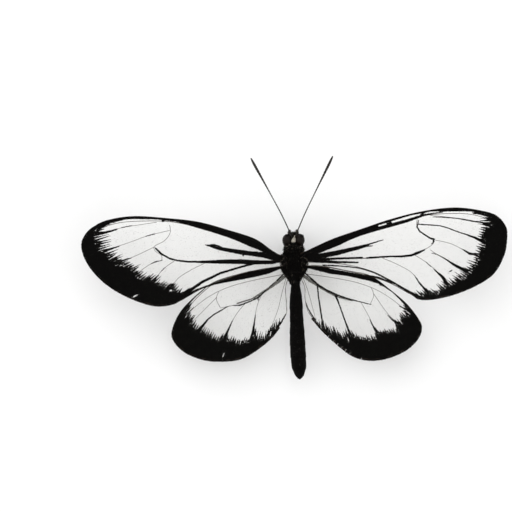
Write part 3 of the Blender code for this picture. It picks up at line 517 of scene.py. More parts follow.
hindWing = {
    "name": "hindwing",
    "outline": {
        "R": [
            (1.2, -0.3), (5.2, -0.45), (9.8, -1.45), (14.2, -2.5), (17.75, -5.1), (21.4, -8.45),
            (23.65, -11.95), (23.35, -14.3), (21.15, -16.65), (17.6, -18.25), (13.8, -18.7), (10.45, -17.7),
            (7.35, -15.2), (4.6, -12.45), (2.55, -9.6), (1.85, -6.8), (1.85, -4.6), (1.2, -2.6)],
        "L": [
            (1.2, -0.3), (5.2, -0.65), (10, -1.5), (14.9, -2.85), (17.9, -4.8), (21.6, -8.3), (23.4, -12),
            (23.1, -14.15), (20.95, -16.35), (17.5, -17.8), (13.8, -18.15), (10.45, -17.75), (6.9, -15.8),
            (3.85, -13.1), (1.8, -9.8), (1.6, -7.6), (1.7, -4.6), (1.2, -2.6)],
    },
    "tip": 8, "columns": 140, "rows": 84, "seedStep": 5,
    "veinRadii": {"costa": (0.12, 0.05), "radius": (0.05, 0.035), "cubitus": (0.08, 0.045),
                  "cellEnd": (0.04, 0.04)},
    "fineVein": (0.04, 0.03),
    "sideVeins": {
        "R": {
            "cubitus": [(1.2, -1.4), (2.4, -2.1), (4.4, -4), (7.6, -5.95), (10.7, -7), (14.2, -8)],
            "media1": [(14.8, -5.9), (17.4, -9.8), (19.4, -11.7), (21.4, -14.2)],
            "media2": [(12.4, -7.5), (14.2, -11), (15.3, -14), (16.4, -17.2)],
            "cubital1": [(7.7, -6), (8.6, -9), (9.7, -12.4), (11.2, -16.7)],
            "cubital2": [(4.3, -4), (4.5, -7.5), (5.1, -11.2), (6.4, -14.2)],
            "anal": [(1.6, -2.6), (2.6, -5.6), (3.8, -10.6)],
        },
        "L": {
            "cubitus": [(1.2, -1.4), (2.2, -2), (3.5, -3.15), (5.3, -4.75), (7, -6.1), (8.5, -6.8),
                        (10.4, -7.45), (12, -7.6), (14.2, -8)],
            "media1": [(14.8, -5.9), (17.6, -8.6), (19.6, -10.6), (21.8, -13.4)],
            "media2": [(12.4, -7.6), (15.55, -9.25), (16.65, -10.1), (18.3, -12), (19.6, -15)],
            "cubital1": [(9.4, -7.2), (10.8, -8.7), (12.1, -10.7), (13.3, -13.2), (14.4, -16.6)],
            "cubital2": [(6.2, -5.5), (7.1, -7.4), (7.7, -9.8), (8.15, -12.7), (9.2, -15.6)],
            "anal": [(1.6, -2.6), (2.5, -5.6), (3.3, -8.6), (4.6, -11.8)],
        },
    },
    "veins": {
        "costa": [(1.2, -0.5), (6, -1.35), (10.8, -2.2), (15, -3.2), (18.2, -5.6), (20.4, -7.9)],
        "radius": [(1.2, -1.8), (7, -2.75), (12, -3.9), (16, -5.6), (19.6, -8.2), (22, -10.8)],
        "cellEnd": [(14.4, -4.8), (14.9, -6.3), (14.2, -7.9)],
    },
    "inner": {
        "R": [
            (22.75, -8.25), (21.05, -8.05), (21.05, -8.85), (21.05, -9.65), (20.75, -10.25),
            (20.15, -10.35), (19.85, -11.4), (19.15, -11.8), (19.15, -13.1), (17.95, -13.2),
            (16.55, -13.15), (16.05, -13.4), (15.35, -13.3), (15.05, -14.2), (14.15, -14.45),
            (13.35, -14.45), (12.45, -14.25), (11.55, -14.05), (10.85, -13.8), (10.25, -13.3),
            (9.65, -13.4), (9.05, -13.85), (8.45, -13.85), (7.75, -13.35), (7, -12.8), (6.3, -12.7),
            (5.7, -12.1), (5.1, -11.9), (4.5, -11.7), (3.8, -11.4), (3.1, -10.1)],
        "L": [
            (22.1, -6.65), (19.95, -7.35), (20.2, -8.35), (19.9, -9.25), (19.7, -10.15), (19.2, -11),
            (18.25, -11.7), (17.45, -12.1), (16.85, -12.7), (16.05, -13.1), (15.25, -13.55), (14.55, -13.7),
            (13.75, -13.3), (13.15, -13.5), (12.75, -14.1), (11.85, -14), (11.05, -14.35), (10.2, -14.35),
            (9.5, -14.35), (8.9, -14.35), (8.4, -13.35), (8, -12.7), (7.6, -13.55), (7, -13.95),
            (6.3, -13.95), (5.7, -13.55), (5.1, -12.85), (4.6, -12.2), (3.75, -11.9), (3.05, -11.3),
            (1.95, -9.5)],
    },
    "toothRuns": {"R": [(7, 1.1), (11, 0.7), (13, 1.2)],
                  "L": [(6, 1.2), (14, 0.8), (11, 1.3)]},
    "corners": [(-3, -9), (-3, 4), (26, 4), (26, -5)],
    "strokes": {
        "R": [
            [(1.45, -0.5, 0.35), (2.9, -0.58, 0.38), (4.45, -0.82, 0.57), (5.8, -1.15, 0.58),
             (6.6, -1.52, 0.48), (10.1, -2.15, 0.4), (14.15, -3.1, 0.46), (15.35, -3.55, 0.45),
             (16.35, -3.95, 0.32)],
            [(16.15, -4.25, 0.2), (16.95, -4.65, 0.14), (18.15, -5.45, 0.15), (19.65, -6.85, 0.18),
             (20.75, -8.05, 0.24), (21.55, -9.25, 0.4)],
            [(19.65, -8.45, 0.08), (20.95, -9.15, 0.14)],
            [(20.35, -9.35, 0.08), (21.05, -9.95, 0.14)],
            [(17.45, -10.15, 0.06), (18.35, -11.1, 0.15), (19.35, -11.7, 0.32)],
            [(14.05, -10.9, 0.05), (14.65, -12.2, 0.14), (15.25, -13.1, 0.3), (15.35, -14.1, 0.2)],
            [(2.1, -1.85, 0.12), (4.5, -4.15, 0.17), (6.1, -5.15, 0.17), (8.1, -6.15, 0.16),
             (10.1, -6.85, 0.12), (14.35, -8.05, 0.06)],
            [(4.3, -4.25, 0.13), (4.4, -6.05, 0.12), (5.2, -12, 0.14)],
            [(7.7, -6.25, 0.22), (8.1, -7.25, 0.13), (8.8, -9.3, 0.11), (9.45, -11.3, 0.12),
             (10.05, -13, 0.22)],
            [(1.9, -7.1, 0.06), (2.5, -8.7, 0.1), (4.3, -11.8, 0.15)],
        ],
        "L": [
            [(1.35, -0.4, 0.35), (2.35, -0.42, 0.4), (2.95, -0.57, 0.38), (5, -1.24, 0.5),
             (7.65, -1.7, 0.6), (10.2, -2.12, 0.6), (14.05, -2.98, 0.34), (15.05, -3.25, 0.26),
             (17.05, -3.9, 0.18), (19.4, -4.95, 0.16)],
            [(16.9, -4.05, 0.1), (19, -5.8, 0.11), (20.05, -6.85, 0.18), (21.1, -8.2, 0.44)],
            [(11.85, -10.2, 0.05), (12.95, -12.5, 0.2), (13.45, -13.5, 0.35)],
            [(2.15, -1.95, 0.1), (3.35, -3.05, 0.12)],
            [(3.85, -3.45, 0.1), (4.8, -4.25, 0.1)],
            [(5.3, -4.75, 0.08), (7, -6.2, 0.16), (8.5, -6.85, 0.1), (10.4, -7.55, 0.13),
             (11.75, -7.55, 0.05)],
            [(7, -6.25, 0.12), (7, -6.75, 0.05)],
            [(12.85, -7.75, 0.08), (15.55, -9.25, 0.12), (16.65, -10.1, 0.14), (18.15, -11.9, 0.3)],
            [(7.6, -9.5, 0.06), (8.1, -12.7, 0.26)],
            [(1.95, -10.2, 0.05), (3.55, -12.15, 0.25)],
            [(3.05, -10.8, 0.08), (3.35, -11.7, 0.2)],
        ],
    },
    "slits": {
        "R": [
            [(9.7, -14.05, 0.03), (9.85, -14.5, 0.07), (9.95, -14.95, 0.03)],
            [(6.1, -13.9, 0.07), (6.4, -13.6, 0.03)],
            [(7, -14.9, 0.06), (7.3, -14.55, 0.02)],
            [(7.7, -15.6, 0.09), (8, -15.2, 0.03)],
            [(8.4, -16.2, 0.06), (8.7, -15.85, 0.02)],
            [(9.2, -16.8, 0.08), (9.45, -16.4, 0.03)],
            [(10, -17.35, 0.06), (10.2, -17, 0.02)],
            [(12.2, -18.4, 0.08), (12.3, -18.1, 0.03)],
        ],
        "L": [
            [(13.65, -16.45, 0.04), (13.85, -16.95, 0.09), (14.05, -17.45, 0.04)],
            [(17.95, -10.6, 0.05), (18.45, -11.2, 0.1), (19, -11.8, 0.05)],
            [(20.2, -8.55, 0.04), (20.8, -9.55, 0.06)],
            [(4.6, -12.45, 0.05), (4.9, -13.45, 0.08)],
        ],
    },
    "teeth": {"step": 0.42, "width": 0.15, "slit": 0.5, "slitWidth": 0.09, "inward": 0.04},
    "unwrap": (0.5, 20, 26),
}
wingSkin = {
    "halfThickness": 0.025, "inset": 0.06, "billow": 0.12, "billowReach": 1.1, "rim": 0.05, "veinStep": 0.6,
    "groundDepths": (0.12, 0.35),  # how deep in the black the membrane itself begins and ends turning black
    "scaleStep": (0.125, 0.09), "scaleLength": 0.29, "scaleWidth": 0.14, "scaleSizes": (0.9, 1.15),
    "hairsPerSquare": 1.6, "hairLengths": (0.14, 0.26), "hairWidths": (0.015, 0.03),
    "fringeStep": 0.055, "fringeLength": 0.36, "fringeWidths": (0.07, 0.11), "fringeInset": 0.22,
    "fringeFrom": 3.2,
    "markSeeds": {"R": 11, "L": 12}, "coatSeeds": {"R": 21, "L": 22}, "underSeedStep": 10,
    # a tooth from its foot to its tip: share of its length, share of its width
    "toothShape": ((-0.35, 1.1), (0, 1), (0.35, 0.6), (0.7, 0.32), (1, 0.12)),
}


def foreHeight(x, y):
    out = np.maximum(x - 2.0, 0)
    return 8.3 + 0.125 * out - 0.00082 * out**2 - 0.011 * (y - 2.0) ** 2 * np.minimum(1, out / 8.0)


def hindHeight(x, y):
    out = np.maximum(x - 2.0, 0)
    return 7.05 + 0.088 * out - 0.0012 * out**2 - 0.0035 * np.maximum(-y - 2.0, 0) ** 2


# The lie of the scales: one fan near the root turns into another further out
def fanned(x, y, near, far, share):
    share = share[..., None]
    inner = unit(np.stack([x - near[0], y - near[1]], axis=-1))
    outer = unit(np.stack([x - far[0], y - far[1]], axis=-1))
    return unit(inner * (1 - share) + outer * share)


def foreHeading(x, y):
    return fanned(x, y, (-4.0, 2.5), (10.0, 11.0), ease(14, 26, x))


def hindHeading(x, y):
    return fanned(x, y, (-1.0, -0.5), (0.45 * x, 4.0), ease(5, 12, np.hypot(x, y)))


foreWing["height"], foreWing["heading"] = foreHeight, foreHeading
hindWing["height"], hindWing["heading"] = hindHeight, hindHeading


# How deep each place lies in the nearest stroke, and that stroke's half width and course there
def strokeDepth(x, y, strokes, reach=2.0):
    depth, width = np.full(len(x), -9.0), np.full(len(x), 0.01)
    course = np.zeros((len(x), 2))
    for stroke in strokes:
        for (x1, y1, w1), (x2, y2, w2) in zip(stroke, stroke[1:]):
            close = (x > min(x1, x2) - reach) & (x < max(x1, x2) + reach)
            close = np.flatnonzero(close & (y > min(y1, y2) - reach) & (y < max(y1, y2) + reach))
            px, py = x[close], y[close]
            runX, runY = x2 - x1, y2 - y1
            u = np.clip(((px - x1) * runX + (py - y1) * runY) / (runX**2 + runY**2), 0, 1)
            half = w1 + (w2 - w1) * u
            here = half - np.hypot(px - x1 - u * runX, py - y1 - u * runY)
            better = here > depth[close]
            chosen = close[better]
            depth[chosen], width[chosen] = here[better], half[better]
            course[chosen] = unit(np.array([runX, runY]))
    return depth, width, course


def within(x, y, corners):
    corners = np.asarray(corners)
    odd = np.zeros(len(x), bool)
    for (x1, y1), (x2, y2) in zip(corners, np.roll(corners, -1, axis=0)):
        if y1 != y2:
            odd ^= ((y1 > y) != (y2 > y)) & (x < x1 + (y - y1) / (y2 - y1) * (x2 - x1))
    return odd


def turned(ways, angles):  # each direction turned by its own small angle
    return np.stack([ways[:, 0] - angles * ways[:, 1], ways[:, 1] + angles * ways[:, 0]], axis=1)


# The pane, its edge, the strokes and teeth of black, and the slits between the teeth
def wingMarks(wing, label):
    draw = np.random.default_rng(wingSkin["markSeeds"][label])
    counts, lengths = zip(*wing["toothRuns"][label])
    inner, teeth = np.column_stack([wing["inner"][label], np.repeat(lengths, counts)]), wing["teeth"]
    inner[:, :2] -= wing["heading"](inner[:, 0], inner[:, 1]) * teeth["inward"]
    feet = evenly(inner[1:-1], teeth["step"])
    longest = feet[:, 2]
    feet = feet[:, :2] + draw.normal(0, 0.05, (len(feet), 2))
    ways = turned(wing["heading"](feet[:, 0], feet[:, 1]), draw.normal(0, 0.07, len(feet)))
    strokes, slits = list(wing["strokes"][label]), list(wing["slits"][label])
    for foot, way, most in zip(feet, ways, longest):
        reach = most * (0.3 + 0.8 * draw.random())
        width = teeth["width"] * draw.uniform(0.8, 1.15)
        shape = wingSkin["toothShape"]
        strokes.append([(*(foot - way * reach * share), width * thick) for share, thick in shape])
    for foot, way, most in zip((feet[1:] + feet[:-1]) / 2, ways, longest):
        reach = 0.15 + most * teeth["slit"] * draw.random()
        width = teeth["slitWidth"] * draw.uniform(0.7, 1.2)
        slits.append([(*(foot - way * 0.3), width), (*(foot + way * reach), width * 0.5)])
    edge = [[(x, y, 0.0) for x, y in inner[:, :2]]]
    return np.concatenate([inner[:, :2], wing["corners"]]), edge, strokes, slits


def blackness(wing, x, y, marks):  # how deep each place lies in the black, and how its scales lie
    pane, edge, strokes, slits = marks
    border = np.where(within(x, y, pane), 1, -1) * strokeDepth(x, y, edge)[0]
    border = np.minimum(border, -strokeDepth(x, y, slits)[0])
    depth, _, course = strokeDepth(x, y, strokes)
    heading = wing["heading"](x, y)
    lie = np.where((border > depth)[:, None], heading, course)
    backwards = np.sum(lie * heading, axis=1) < -0.2
    lie[backwards] *= -1
    return np.maximum(border, depth), unit(lie * 0.7 + heading * 0.3)


def veinStrokes(wing, label):
    lines = []
    for name, points in (wing["sideVeins"][label] | wing["veins"]).items():
        start, end = wing["veinRadii"].get(name, wing["fineVein"])
        path = evenly(points, wingSkin["veinStep"])
        radii = start + (end - start) * np.linspace(0, 1, len(path)) ** 0.7
        lines.append([(*place, radius) for place, radius in zip(path, radii)])
    return lines


# The edge's outward direction, the lie of the scales there and how far they stand out
def combing(wing, line):
    run = unit(np.gradient(line, axis=0))
    outward = np.stack([-run[:, 1], run[:, 0]], axis=1)
    wild = wing["heading"](line[:, 0], line[:, 1])
    return outward, wild, ease(0.1, 0.6, np.sum(outward * wild, axis=1))


def wingEdge(wing, label):  # the outline as a dense closed line, drawn in to leave room for the fringe
    outline = np.array(wing["outline"][label] + wing["outline"][label][:1])
    dense = along(outline, np.linspace(0, 1, 1201))
    outward, _, standing = combing(wing, dense)
    smooth = dense - outward * (wingSkin["inset"] + wingSkin["fringeInset"] * standing)[:, None]
    smooth[:, 0] = np.maximum(smooth[:, 0], outline[:, 0].min())
    return smooth


def wingSurface(wing, veins, x, y):  # height of the membrane's middle, and how far the veins rise from it
    depth, width, _ = strokeDepth(x, y, veins)
    sag = wingSkin["billow"] * (1 - np.exp(-(np.maximum(-depth, 0) / wingSkin["billowReach"]) ** 2))
    inside = np.clip(depth, 0, width)
    rise = np.sqrt(np.maximum((2 * width - inside) * inside, 0))
    return wing["height"](x, y) - sag, rise


def buildMembrane(wing, label, marks, veins):
    side = labels[label]
    smooth = wingEdge(wing, label)
    count = len(wing["outline"][label])
    columns, rows = wing["columns"], wing["rows"]
    share = np.linspace(0, 1, columns + 1)
    tip = wing["tip"] / count
    index = np.linspace(0, 1, len(smooth))
    read = lambda t: np.stack([np.interp(t, index, smooth[:, k]) for k in range(2)], axis=-1)
    front, rear = read(share * tip), read((count - 1) / count + (tip - (count - 1) / count) * share)
    # a grid is added and its rows are spread between the wing's front and rear edge
    bpy.ops.mesh.primitive_grid_add(x_subdivisions=columns, y_subdivisions=rows, size=2)
    piece = bpy.context.active_object
    piece.name = piece.data.name = f"{wing['name']}_membrane_{label}"
    flat = np.empty(len(piece.data.vertices) * 3)
    piece.data.vertices.foreach_get("co", flat)
    flat = flat.reshape(-1, 3)
    column = np.rint((flat[:, 0] + 1) / 2 * columns).astype(int)
    across = (flat[:, 1] + 1) / 2
    place = rear[column] * (1 - across[:, None]) + front[column] * across[:, None]
    x, y = place[:, 0], place[:, 1]
    middle, _ = wingSurface(wing, veins, x, y)
    depth, _ = blackness(wing, x, y, marks)
    half = wingSkin["halfThickness"]
    ground = ease(*wingSkin["groundDepths"], depth)
    grid = np.array([tuple(f.vertices) for f in piece.data.polygons])
    top = np.stack([x * side, y, middle + half], axis=1)
    under = top - (0, 0, 2 * half)
    total = len(top)
    upward = grid if side > 0 else grid[:, ::-1]
    edges = dict.fromkeys((a, b) for face in upward for a, b in zip(face, np.roll(face, -1)))
    rim = [(a, a + total, b + total, b) for a, b in edges if (b, a) not in edges]
    faces = np.concatenate([upward, upward[:, ::-1] + total, np.array(rim)])
    old = piece.data
    piece.data = arrayMesh(piece.name, np.concatenate([top, under]), faces)
    bpy.data.meshes.remove(old)
    piece.matrix_world = Matrix.Identity(4)
    tint = piece.data.attributes.new("ground", "FLOAT", "POINT")
    tint.data.foreach_set("value", np.tile(ground, 2).astype(np.float32))
    mend(piece)
    return settle(piece, clearPane, [f"{wing['name']}_{label}"])


def buildVeins(wing, label, veins):
    side = labels[label]
    lines = []
    for line in veins:
        line = np.array(line)
        middle, _ = wingSurface(wing, veins, line[:, 0], line[:, 1])
        lines.append((np.stack([line[:, 0] * side, line[:, 1], middle], axis=1), line[:, 2]))
    smooth = wingEdge(wing, label)
    rim = smooth[::6]
    middle, _ = wingSurface(wing, veins, rim[:, 0], rim[:, 1])
    thick = wingSkin["rim"] * (1 + 0.25 * np.sin(np.arange(len(rim)) * 0.9))
    lines.append((np.stack([rim[:, 0] * side, rim[:, 1], middle], axis=1), thick))
    piece = sweep(f"{wing['name']}_veins_{label}", lines, 1)
    return settle(piece, veinHorn)


def onWing(wing, veins, x, y, up):  # places on the upper or under face, and the way that face looks
    middle, rise = wingSurface(wing, veins, x, y)
    small, height = 0.05, wing["height"]
    slopeX = (height(x + small, y) - height(x - small, y)) / (2 * small)
    slopeY = (height(x, y + small) - height(x, y - small)) / (2 * small)
    normal = unit(np.stack([-slopeX, -slopeY, np.ones_like(x)], axis=1)) * up
    z = middle + up * (wingSkin["halfThickness"] + np.maximum(rise - 0.02, 0) * 0.9)
    return np.stack([x, y, z], axis=1), normal


def level(ways):
    return np.concatenate([ways, np.zeros((len(ways), 1))], axis=1)


def wingChart(wing, x, y):
    shiftX, shiftY, span = wing["unwrap"]
    return np.stack([(x + shiftX) / span, (y + shiftY) / span], axis=1)


def scalePlaces(wing, draw, smooth, marks):  # rows of scales on the black, each shaken a little
    stepX, stepY = wingSkin["scaleStep"]
    low, high = smooth.min(axis=0), smooth.max(axis=0)
    gridX, gridY = np.meshgrid(np.arange(low[0], high[0], stepX), np.arange(low[1], high[1], stepY))
    gridX = gridX + (np.arange(gridX.shape[0]) % 2)[:, None] * stepX / 2
    x = gridX.ravel() + draw.uniform(-0.35, 0.35, gridX.size) * stepX
    y = gridY.ravel() + draw.uniform(-0.35, 0.35, gridX.size) * stepY
    keep = within(x, y, smooth[::4])
    x, y = x[keep], y[keep]
    depth, lie = blackness(wing, x, y, marks)
    keep = draw.random(len(x)) < ease(-0.02, 0.03, depth)
    return x[keep], y[keep], depth[keep], lie[keep]


def hairPlaces(draw, smooth):  # sparse hairs over the whole wing
    low, high = smooth.min(axis=0), smooth.max(axis=0)
    count = int((high[0] - low[0]) * (high[1] - low[1]) * wingSkin["hairsPerSquare"])
    x, y = draw.uniform(low[0], high[0], count), draw.uniform(low[1], high[1], count)
    keep = within(x, y, smooth[::4])
    return x[keep], y[keep]


def fringePlaces(wing, label, draw, smooth):  # along the edge, away from the body and from the slits
    places = evenly(smooth[:-1], wingSkin["fringeStep"])
    slit = strokeDepth(places[:, 0], places[:, 1], wing["slits"][label])[0]
    places = places[(places[:, 0] > wingSkin["fringeFrom"]) & (slit < 0)]
    outward, wild, standing = combing(wing, places)
    return places, unit(outward + wild * 0.35 + draw.normal(0, 0.09, places.shape)), 0.25 + 0.75 * standing


def buildWingCoat(wing, label, marks, veins, face):
    up = 1 if face == "upper" else -1
    seed = wingSkin["coatSeeds"][label] + wing["seedStep"] + (wingSkin["underSeedStep"] if up < 0 else 0)
    draw = np.random.default_rng(seed)
    smooth = wingEdge(wing, label)
    x, y, depth, lie = scalePlaces(wing, draw, smooth, marks)
    tones = 0.15 + 0.5 * draw.random(len(x)) + 0.15 * (draw.random(len(x)) < 0.06)
    hairX, hairY = hairPlaces(draw, smooth)
    fringe, combed, weight = fringePlaces(wing, label, draw, smooth)

    lie = level(turned(lie, draw.normal(0, 0.14, len(x))))
    size = draw.uniform(*wingSkin["scaleSizes"], len(x)) * (0.7 + 0.3 * ease(0.0, 0.25, depth))
    place, normal = onWing(wing, veins, x, y, up)
    length, width = wingSkin["scaleLength"], wingSkin["scaleWidth"]
    layers = [layCoat(leafScale, place - 0.3 * length * lie, lie, normal, length * size, width * size, tones,
                      wingChart(wing, x, y))]

    count = len(hairX)
    place, normal = onWing(wing, veins, hairX, hairY, up)
    way = level(wing["heading"](hairX, hairY) + draw.normal(0, 0.25, (count, 2)))
    layers.append(layCoat(leafScale, place, way, normal, draw.uniform(*wingSkin["hairLengths"], count),
                          draw.uniform(*wingSkin["hairWidths"], count), np.full(count, 0.3),
                          wingChart(wing, hairX, hairY)))

    count, edgeX, edgeY = len(fringe), fringe[:, 0], fringe[:, 1]
    place, normal = onWing(wing, veins, edgeX, edgeY, up)
    layers.append(layCoat(leafScale, place, level(combed), normal,
                          wingSkin["fringeLength"] * weight * draw.uniform(0.75, 1.1, count),
                          draw.uniform(*wingSkin["fringeWidths"], count), 0.2 + 0.4 * draw.random(count),
                          wingChart(wing, edgeX, edgeY)))
    material = blackScales if up > 0 else underScales
    coatPiece(f"{wing['name']}_scales_{face}_{label}", layers, material, labels[label])


for wing in (foreWing, hindWing):
    for label in labels:
        veins = veinStrokes(wing, label)
        marks = wingMarks(wing, label)
        buildMembrane(wing, label, marks, veins)
        buildVeins(wing, label, veins)
        for face in ("upper", "under"):
            buildWingCoat(wing, label, marks, veins, face)
        print(wing["name"], label, "made")


# Body: one skin over head, thorax and abdomen, from its cross sections along y
bodyPlan = {
    "sections": [  # y, half width, top, bottom, height of the middle line
        (5.95, 0.25, 0.2, 0.3, 6.5), (5.6, 0.58, 0.75, 0.85, 6.5), (5.2, 0.68, 1.05, 1.1, 6.5),
        (4.6, 0.7, 1.16, 1.18, 6.5), (3.9, 0.9, 1.04, 1.08, 6.5), (3.55, 1.2, 0.98, 1.02, 6.54),
        (3.3, 1.48, 1.12, 1.18, 6.62), (3.0, 1.62, 1.32, 1.38, 6.7), (2.65, 1.76, 1.53, 1.58, 6.78),
        (1.95, 2.02, 1.85, 1.9, 6.8), (1.1, 2.36, 2.2, 2.2, 6.8),
        (0.2, 2.54, 2.4, 2.35, 6.8), (-0.7, 2.45, 2.3, 2.35, 6.8), (-1.6, 2.06, 1.95, 2.1, 6.8),
        (-2.3, 1.6, 1.45, 1.6, 6.8), (-2.9, 1.2, 1.05, 1.12, 6.8), (-3.3, 0.97, 0.94, 0.98, 6.78)],
    "abdomenWidths": [0.93, 0.92, 1.05, 1.22, 1.3, 1.31, 1.33, 1.38, 1.46, 1.51, 1.54, 1.54, 1.52, 1.47, 1.45,
                      1.45],
    "abdomenSway": [0.06, 0.17, 0.18, 0.2, 0.24, 0.27, 0.33, 0.44, 0.52],
    "abdomenFront": -2.6, "abdomenTip": -21.85, "roundedFrom": -19.0, "abdomenSag": 1.3, "segments": 8,
    "firstSegment": -3.6,
    "coatDepth": 0.07, "rings": 190, "sides": 72,
}


def bodyTable():
    plan = bodyPlan
    rows = [(*section, 0.0) for section in plan["sections"]]
    rounded = plan["roundedFrom"]
    tail = np.sin(np.linspace(0, 0.5, 14)[1:] * math.pi) * (rounded - plan["abdomenTip"])
    for y in np.concatenate([np.linspace(-3.9, rounded, 34), rounded - tail]):
        share = (plan["abdomenFront"] - y) / (plan["abdomenFront"] - plan["abdomenTip"])
        half, sway = (float(along(np.array(plan[key])[:, None], share)[0])
                      for key in ("abdomenWidths", "abdomenSway"))
        end = max(rounded - y, 0) / (rounded - plan["abdomenTip"])
        half = max(half * (1 - min(end, 1) ** 1.8) ** 0.6, 0.06)
        rows.append((y, half, half * 1.06, half * 1.06, 6.8 - plan["abdomenSag"] * share**1.6, sway))
    dense = along(rows, np.linspace(0, 1, 1600))
    return dense[np.argsort(dense[:, 0])]


bodyRows = bodyTable()


def bodyPoint(y, angle, proud=0.0):  # angle 0 to the right, a quarter turn on top
    half, top, bottom, middle, sway = (np.interp(y, bodyRows[:, 0], column) for column in bodyRows.T[1:])
    c, s = np.cos(angle), np.sin(angle)
    upper = s > 0
    tall = np.where(upper, top, bottom)
    plan = bodyPlan
    length = (plan["firstSegment"] - plan["abdomenTip"]) / plan["segments"]
    place = (plan["firstSegment"] - y) / length
    part = place - np.floor(place)
    onAbdomen = ease(-3.3, -3.9, y)
    step = (0.045 * (part - 0.6) - 0.035 * np.exp(-(part / 0.05) ** 2)) * onAbdomen
    pleat = -0.05 * np.exp(-((np.abs(c) - 0.97) / 0.03) ** 2) * onAbdomen * (s < 0.3)
    collar = -0.06 * np.exp(-((y - 2.45) / 0.12) ** 2) * ease(0.1, 0.5, s)
    shield = -0.07 * np.exp(-((y + 1.35 + 0.35 * np.abs(c)) / 0.12) ** 2) * ease(0.2, 0.6, s)
    seam = -0.035 * np.exp(-((c * half) / 0.14) ** 2) * ease(0.5, 0.9, s)
    seam = seam * ease(-1.3, -0.9, y) * ease(2.5, 2.2, y)
    scale = 1 + step + pleat + collar + shield + seam
    reach = proud - plan["coatDepth"]
    return np.stack([sway + (half * scale + reach) * c, y, middle + (tall * scale + reach) * s], axis=-1)


def bodyNormal(y, angle):
    small = 0.02
    alongY = bodyPoint(y + small, angle) - bodyPoint(y - small, angle)
    around = bodyPoint(y, angle + small) - bodyPoint(y, angle - small)
    return unit(np.cross(around, alongY) * -1)


def buildSkin():
    plan = bodyPlan
    bpy.ops.mesh.primitive_uv_sphere_add(segments=plan["sides"], ring_count=plan["rings"], radius=1)
    piece = bpy.context.active_object
    piece.name = piece.data.name = "body_skin"
    flat = np.empty(len(piece.data.vertices) * 3)
    piece.data.vertices.foreach_get("co", flat)
    flat = flat.reshape(-1, 3)
    share = np.arccos(np.clip(flat[:, 2], -1, 1)) / math.pi  # 0 at the head's pole, 1 at the tail's
    front, rear = plan["sections"][0][0], plan["abdomenTip"] + 0.01
    y = front + (rear - front) * share
    angle = np.arctan2(flat[:, 1], flat[:, 0])
    places = bodyPoint(y, angle)
    pole = np.hypot(flat[:, 0], flat[:, 1]) < 1e-5
    places[pole] = [(0, front + 0.04, 6.5) if s < 0.5 else (0.52, rear - 0.02, 5.5) for s in share[pole]]
    places = (places + bodyShift) * mm
    piece.data.vertices.foreach_set("co", places.astype(np.float32).ravel())
    piece.data.update()
    mend(piece)
    return settle(piece, bodySkin, ["thorax", "head", "abdomen"])


buildSkin()


def darkTone(draw, count):
    return 0.1 + 0.4 * draw.random(count)


def paleTone(draw, count):
    return 0.9 + 0.1 * draw.random(count)


def greyedTone(share):  # dark, with a share of pale hairs
    def tone(draw, count):
        pale = draw.random(count) < share
        return np.where(pale, 0.72 + 0.2 * draw.random(count), 0.1 + 0.4 * draw.random(count))
    return tone


# How much of a coat grows at each place, 0 to 1
def wideness(y, angle):
    return np.interp(y, bodyRows[:, 0], bodyRows[:, 1]) / 2.6


def onForehead(y, angle, room=0.0):  # the pale triangle between the eyes, wider by some room
    x = bodyPoint(y, angle)[:, 0]
    share = ease(4.05, 5.15, y)
    inside = (x > -0.42 + 0.6 * share - room) & (x < 0.3 + 0.05 * share + room)
    return inside & (y > 4.02 - room) & (y < 5.15 + room) & (np.sin(angle) > 0)


def offEyes(y, angle):
    return ((y > 5.3) | (y < 3.9) | (np.abs(np.cos(angle)) < 0.72)) & ~onForehead(y, angle)


def offFace(y, angle):
    return offEyes(y, angle) & ~onForehead(y, angle, 0.3)


# The stretch of the body that each coat's unwrap takes in, from rear to front
stretches = {"abdomen": (-21.9, -3.1), "thorax": (-3.8, 3.6), "head": (2.6, 6.0)}
# Each coat's layers, tried at count places over a stretch of y and an arc round the body. A coat with no seed
# of its own goes on with the draws of the one before it.
bodyCoats = {
    "abdomen_scales": {"part": "abdomen", "seed": 41, "layers": [
        {"shape": leafScale, "count": 17000, "span": (-21.75, -3.2), "lengths": (0.3, 0.42),
         "widths": (0.13, 0.19)},
    ]},
    "thorax_coat": {"part": "thorax", "layers": [
        {"shape": leafScale, "count": 9500, "span": (-3.6, 3.4), "lengths": (0.28, 0.4),
         "widths": (0.1, 0.16), "density": wideness},
        {"shape": fineHair, "count": 9500, "span": (-3.5, 3.4), "lengths": (0.45, 0.8),
         "widths": (0.022, 0.04), "way": (0, -1, 0.05), "tone": greyedTone(0.02),
         "density": wideness, "lift": 0.2, "tipTone": 0.05},
    ]},
    "head_coat": {"part": "head", "seed": 43, "layers": [
        {"shape": leafScale, "count": 3400, "span": (3.2, 5.8), "lengths": (0.18, 0.28),
         "widths": (0.07, 0.11), "density": offEyes},
        {"shape": fineHair, "count": 2600, "span": (3.9, 5.9), "lengths": (0.25, 0.45),
         "widths": (0.02, 0.034), "arc": (20, 160), "way": (0, 0.6, 0.3),
         "tone": greyedTone(0.08), "density": offFace, "lift": 0.9,
         "tipTone": 0.05, "straying": 0.3},
        {"shape": fineHair, "count": 2600, "span": (2.75, 3.6), "lengths": (0.45, 0.7),
         "widths": (0.022, 0.036), "arc": (-20, 200), "way": (0, -0.3, 0.1),
         "tone": greyedTone(0.04), "lift": 0.6, "tipTone": 0.05,
         "straying": 0.25},
    ]},
}
foreheadCoat = {"shape": leafScale, "count": 5000, "span": (4.0, 5.2), "lengths": (0.2, 0.3),
                "widths": (0.06, 0.1), "arc": (50, 130), "way": (0, 1, 0),
                "tone": paleTone, "density": onForehead, "lift": 0.1}


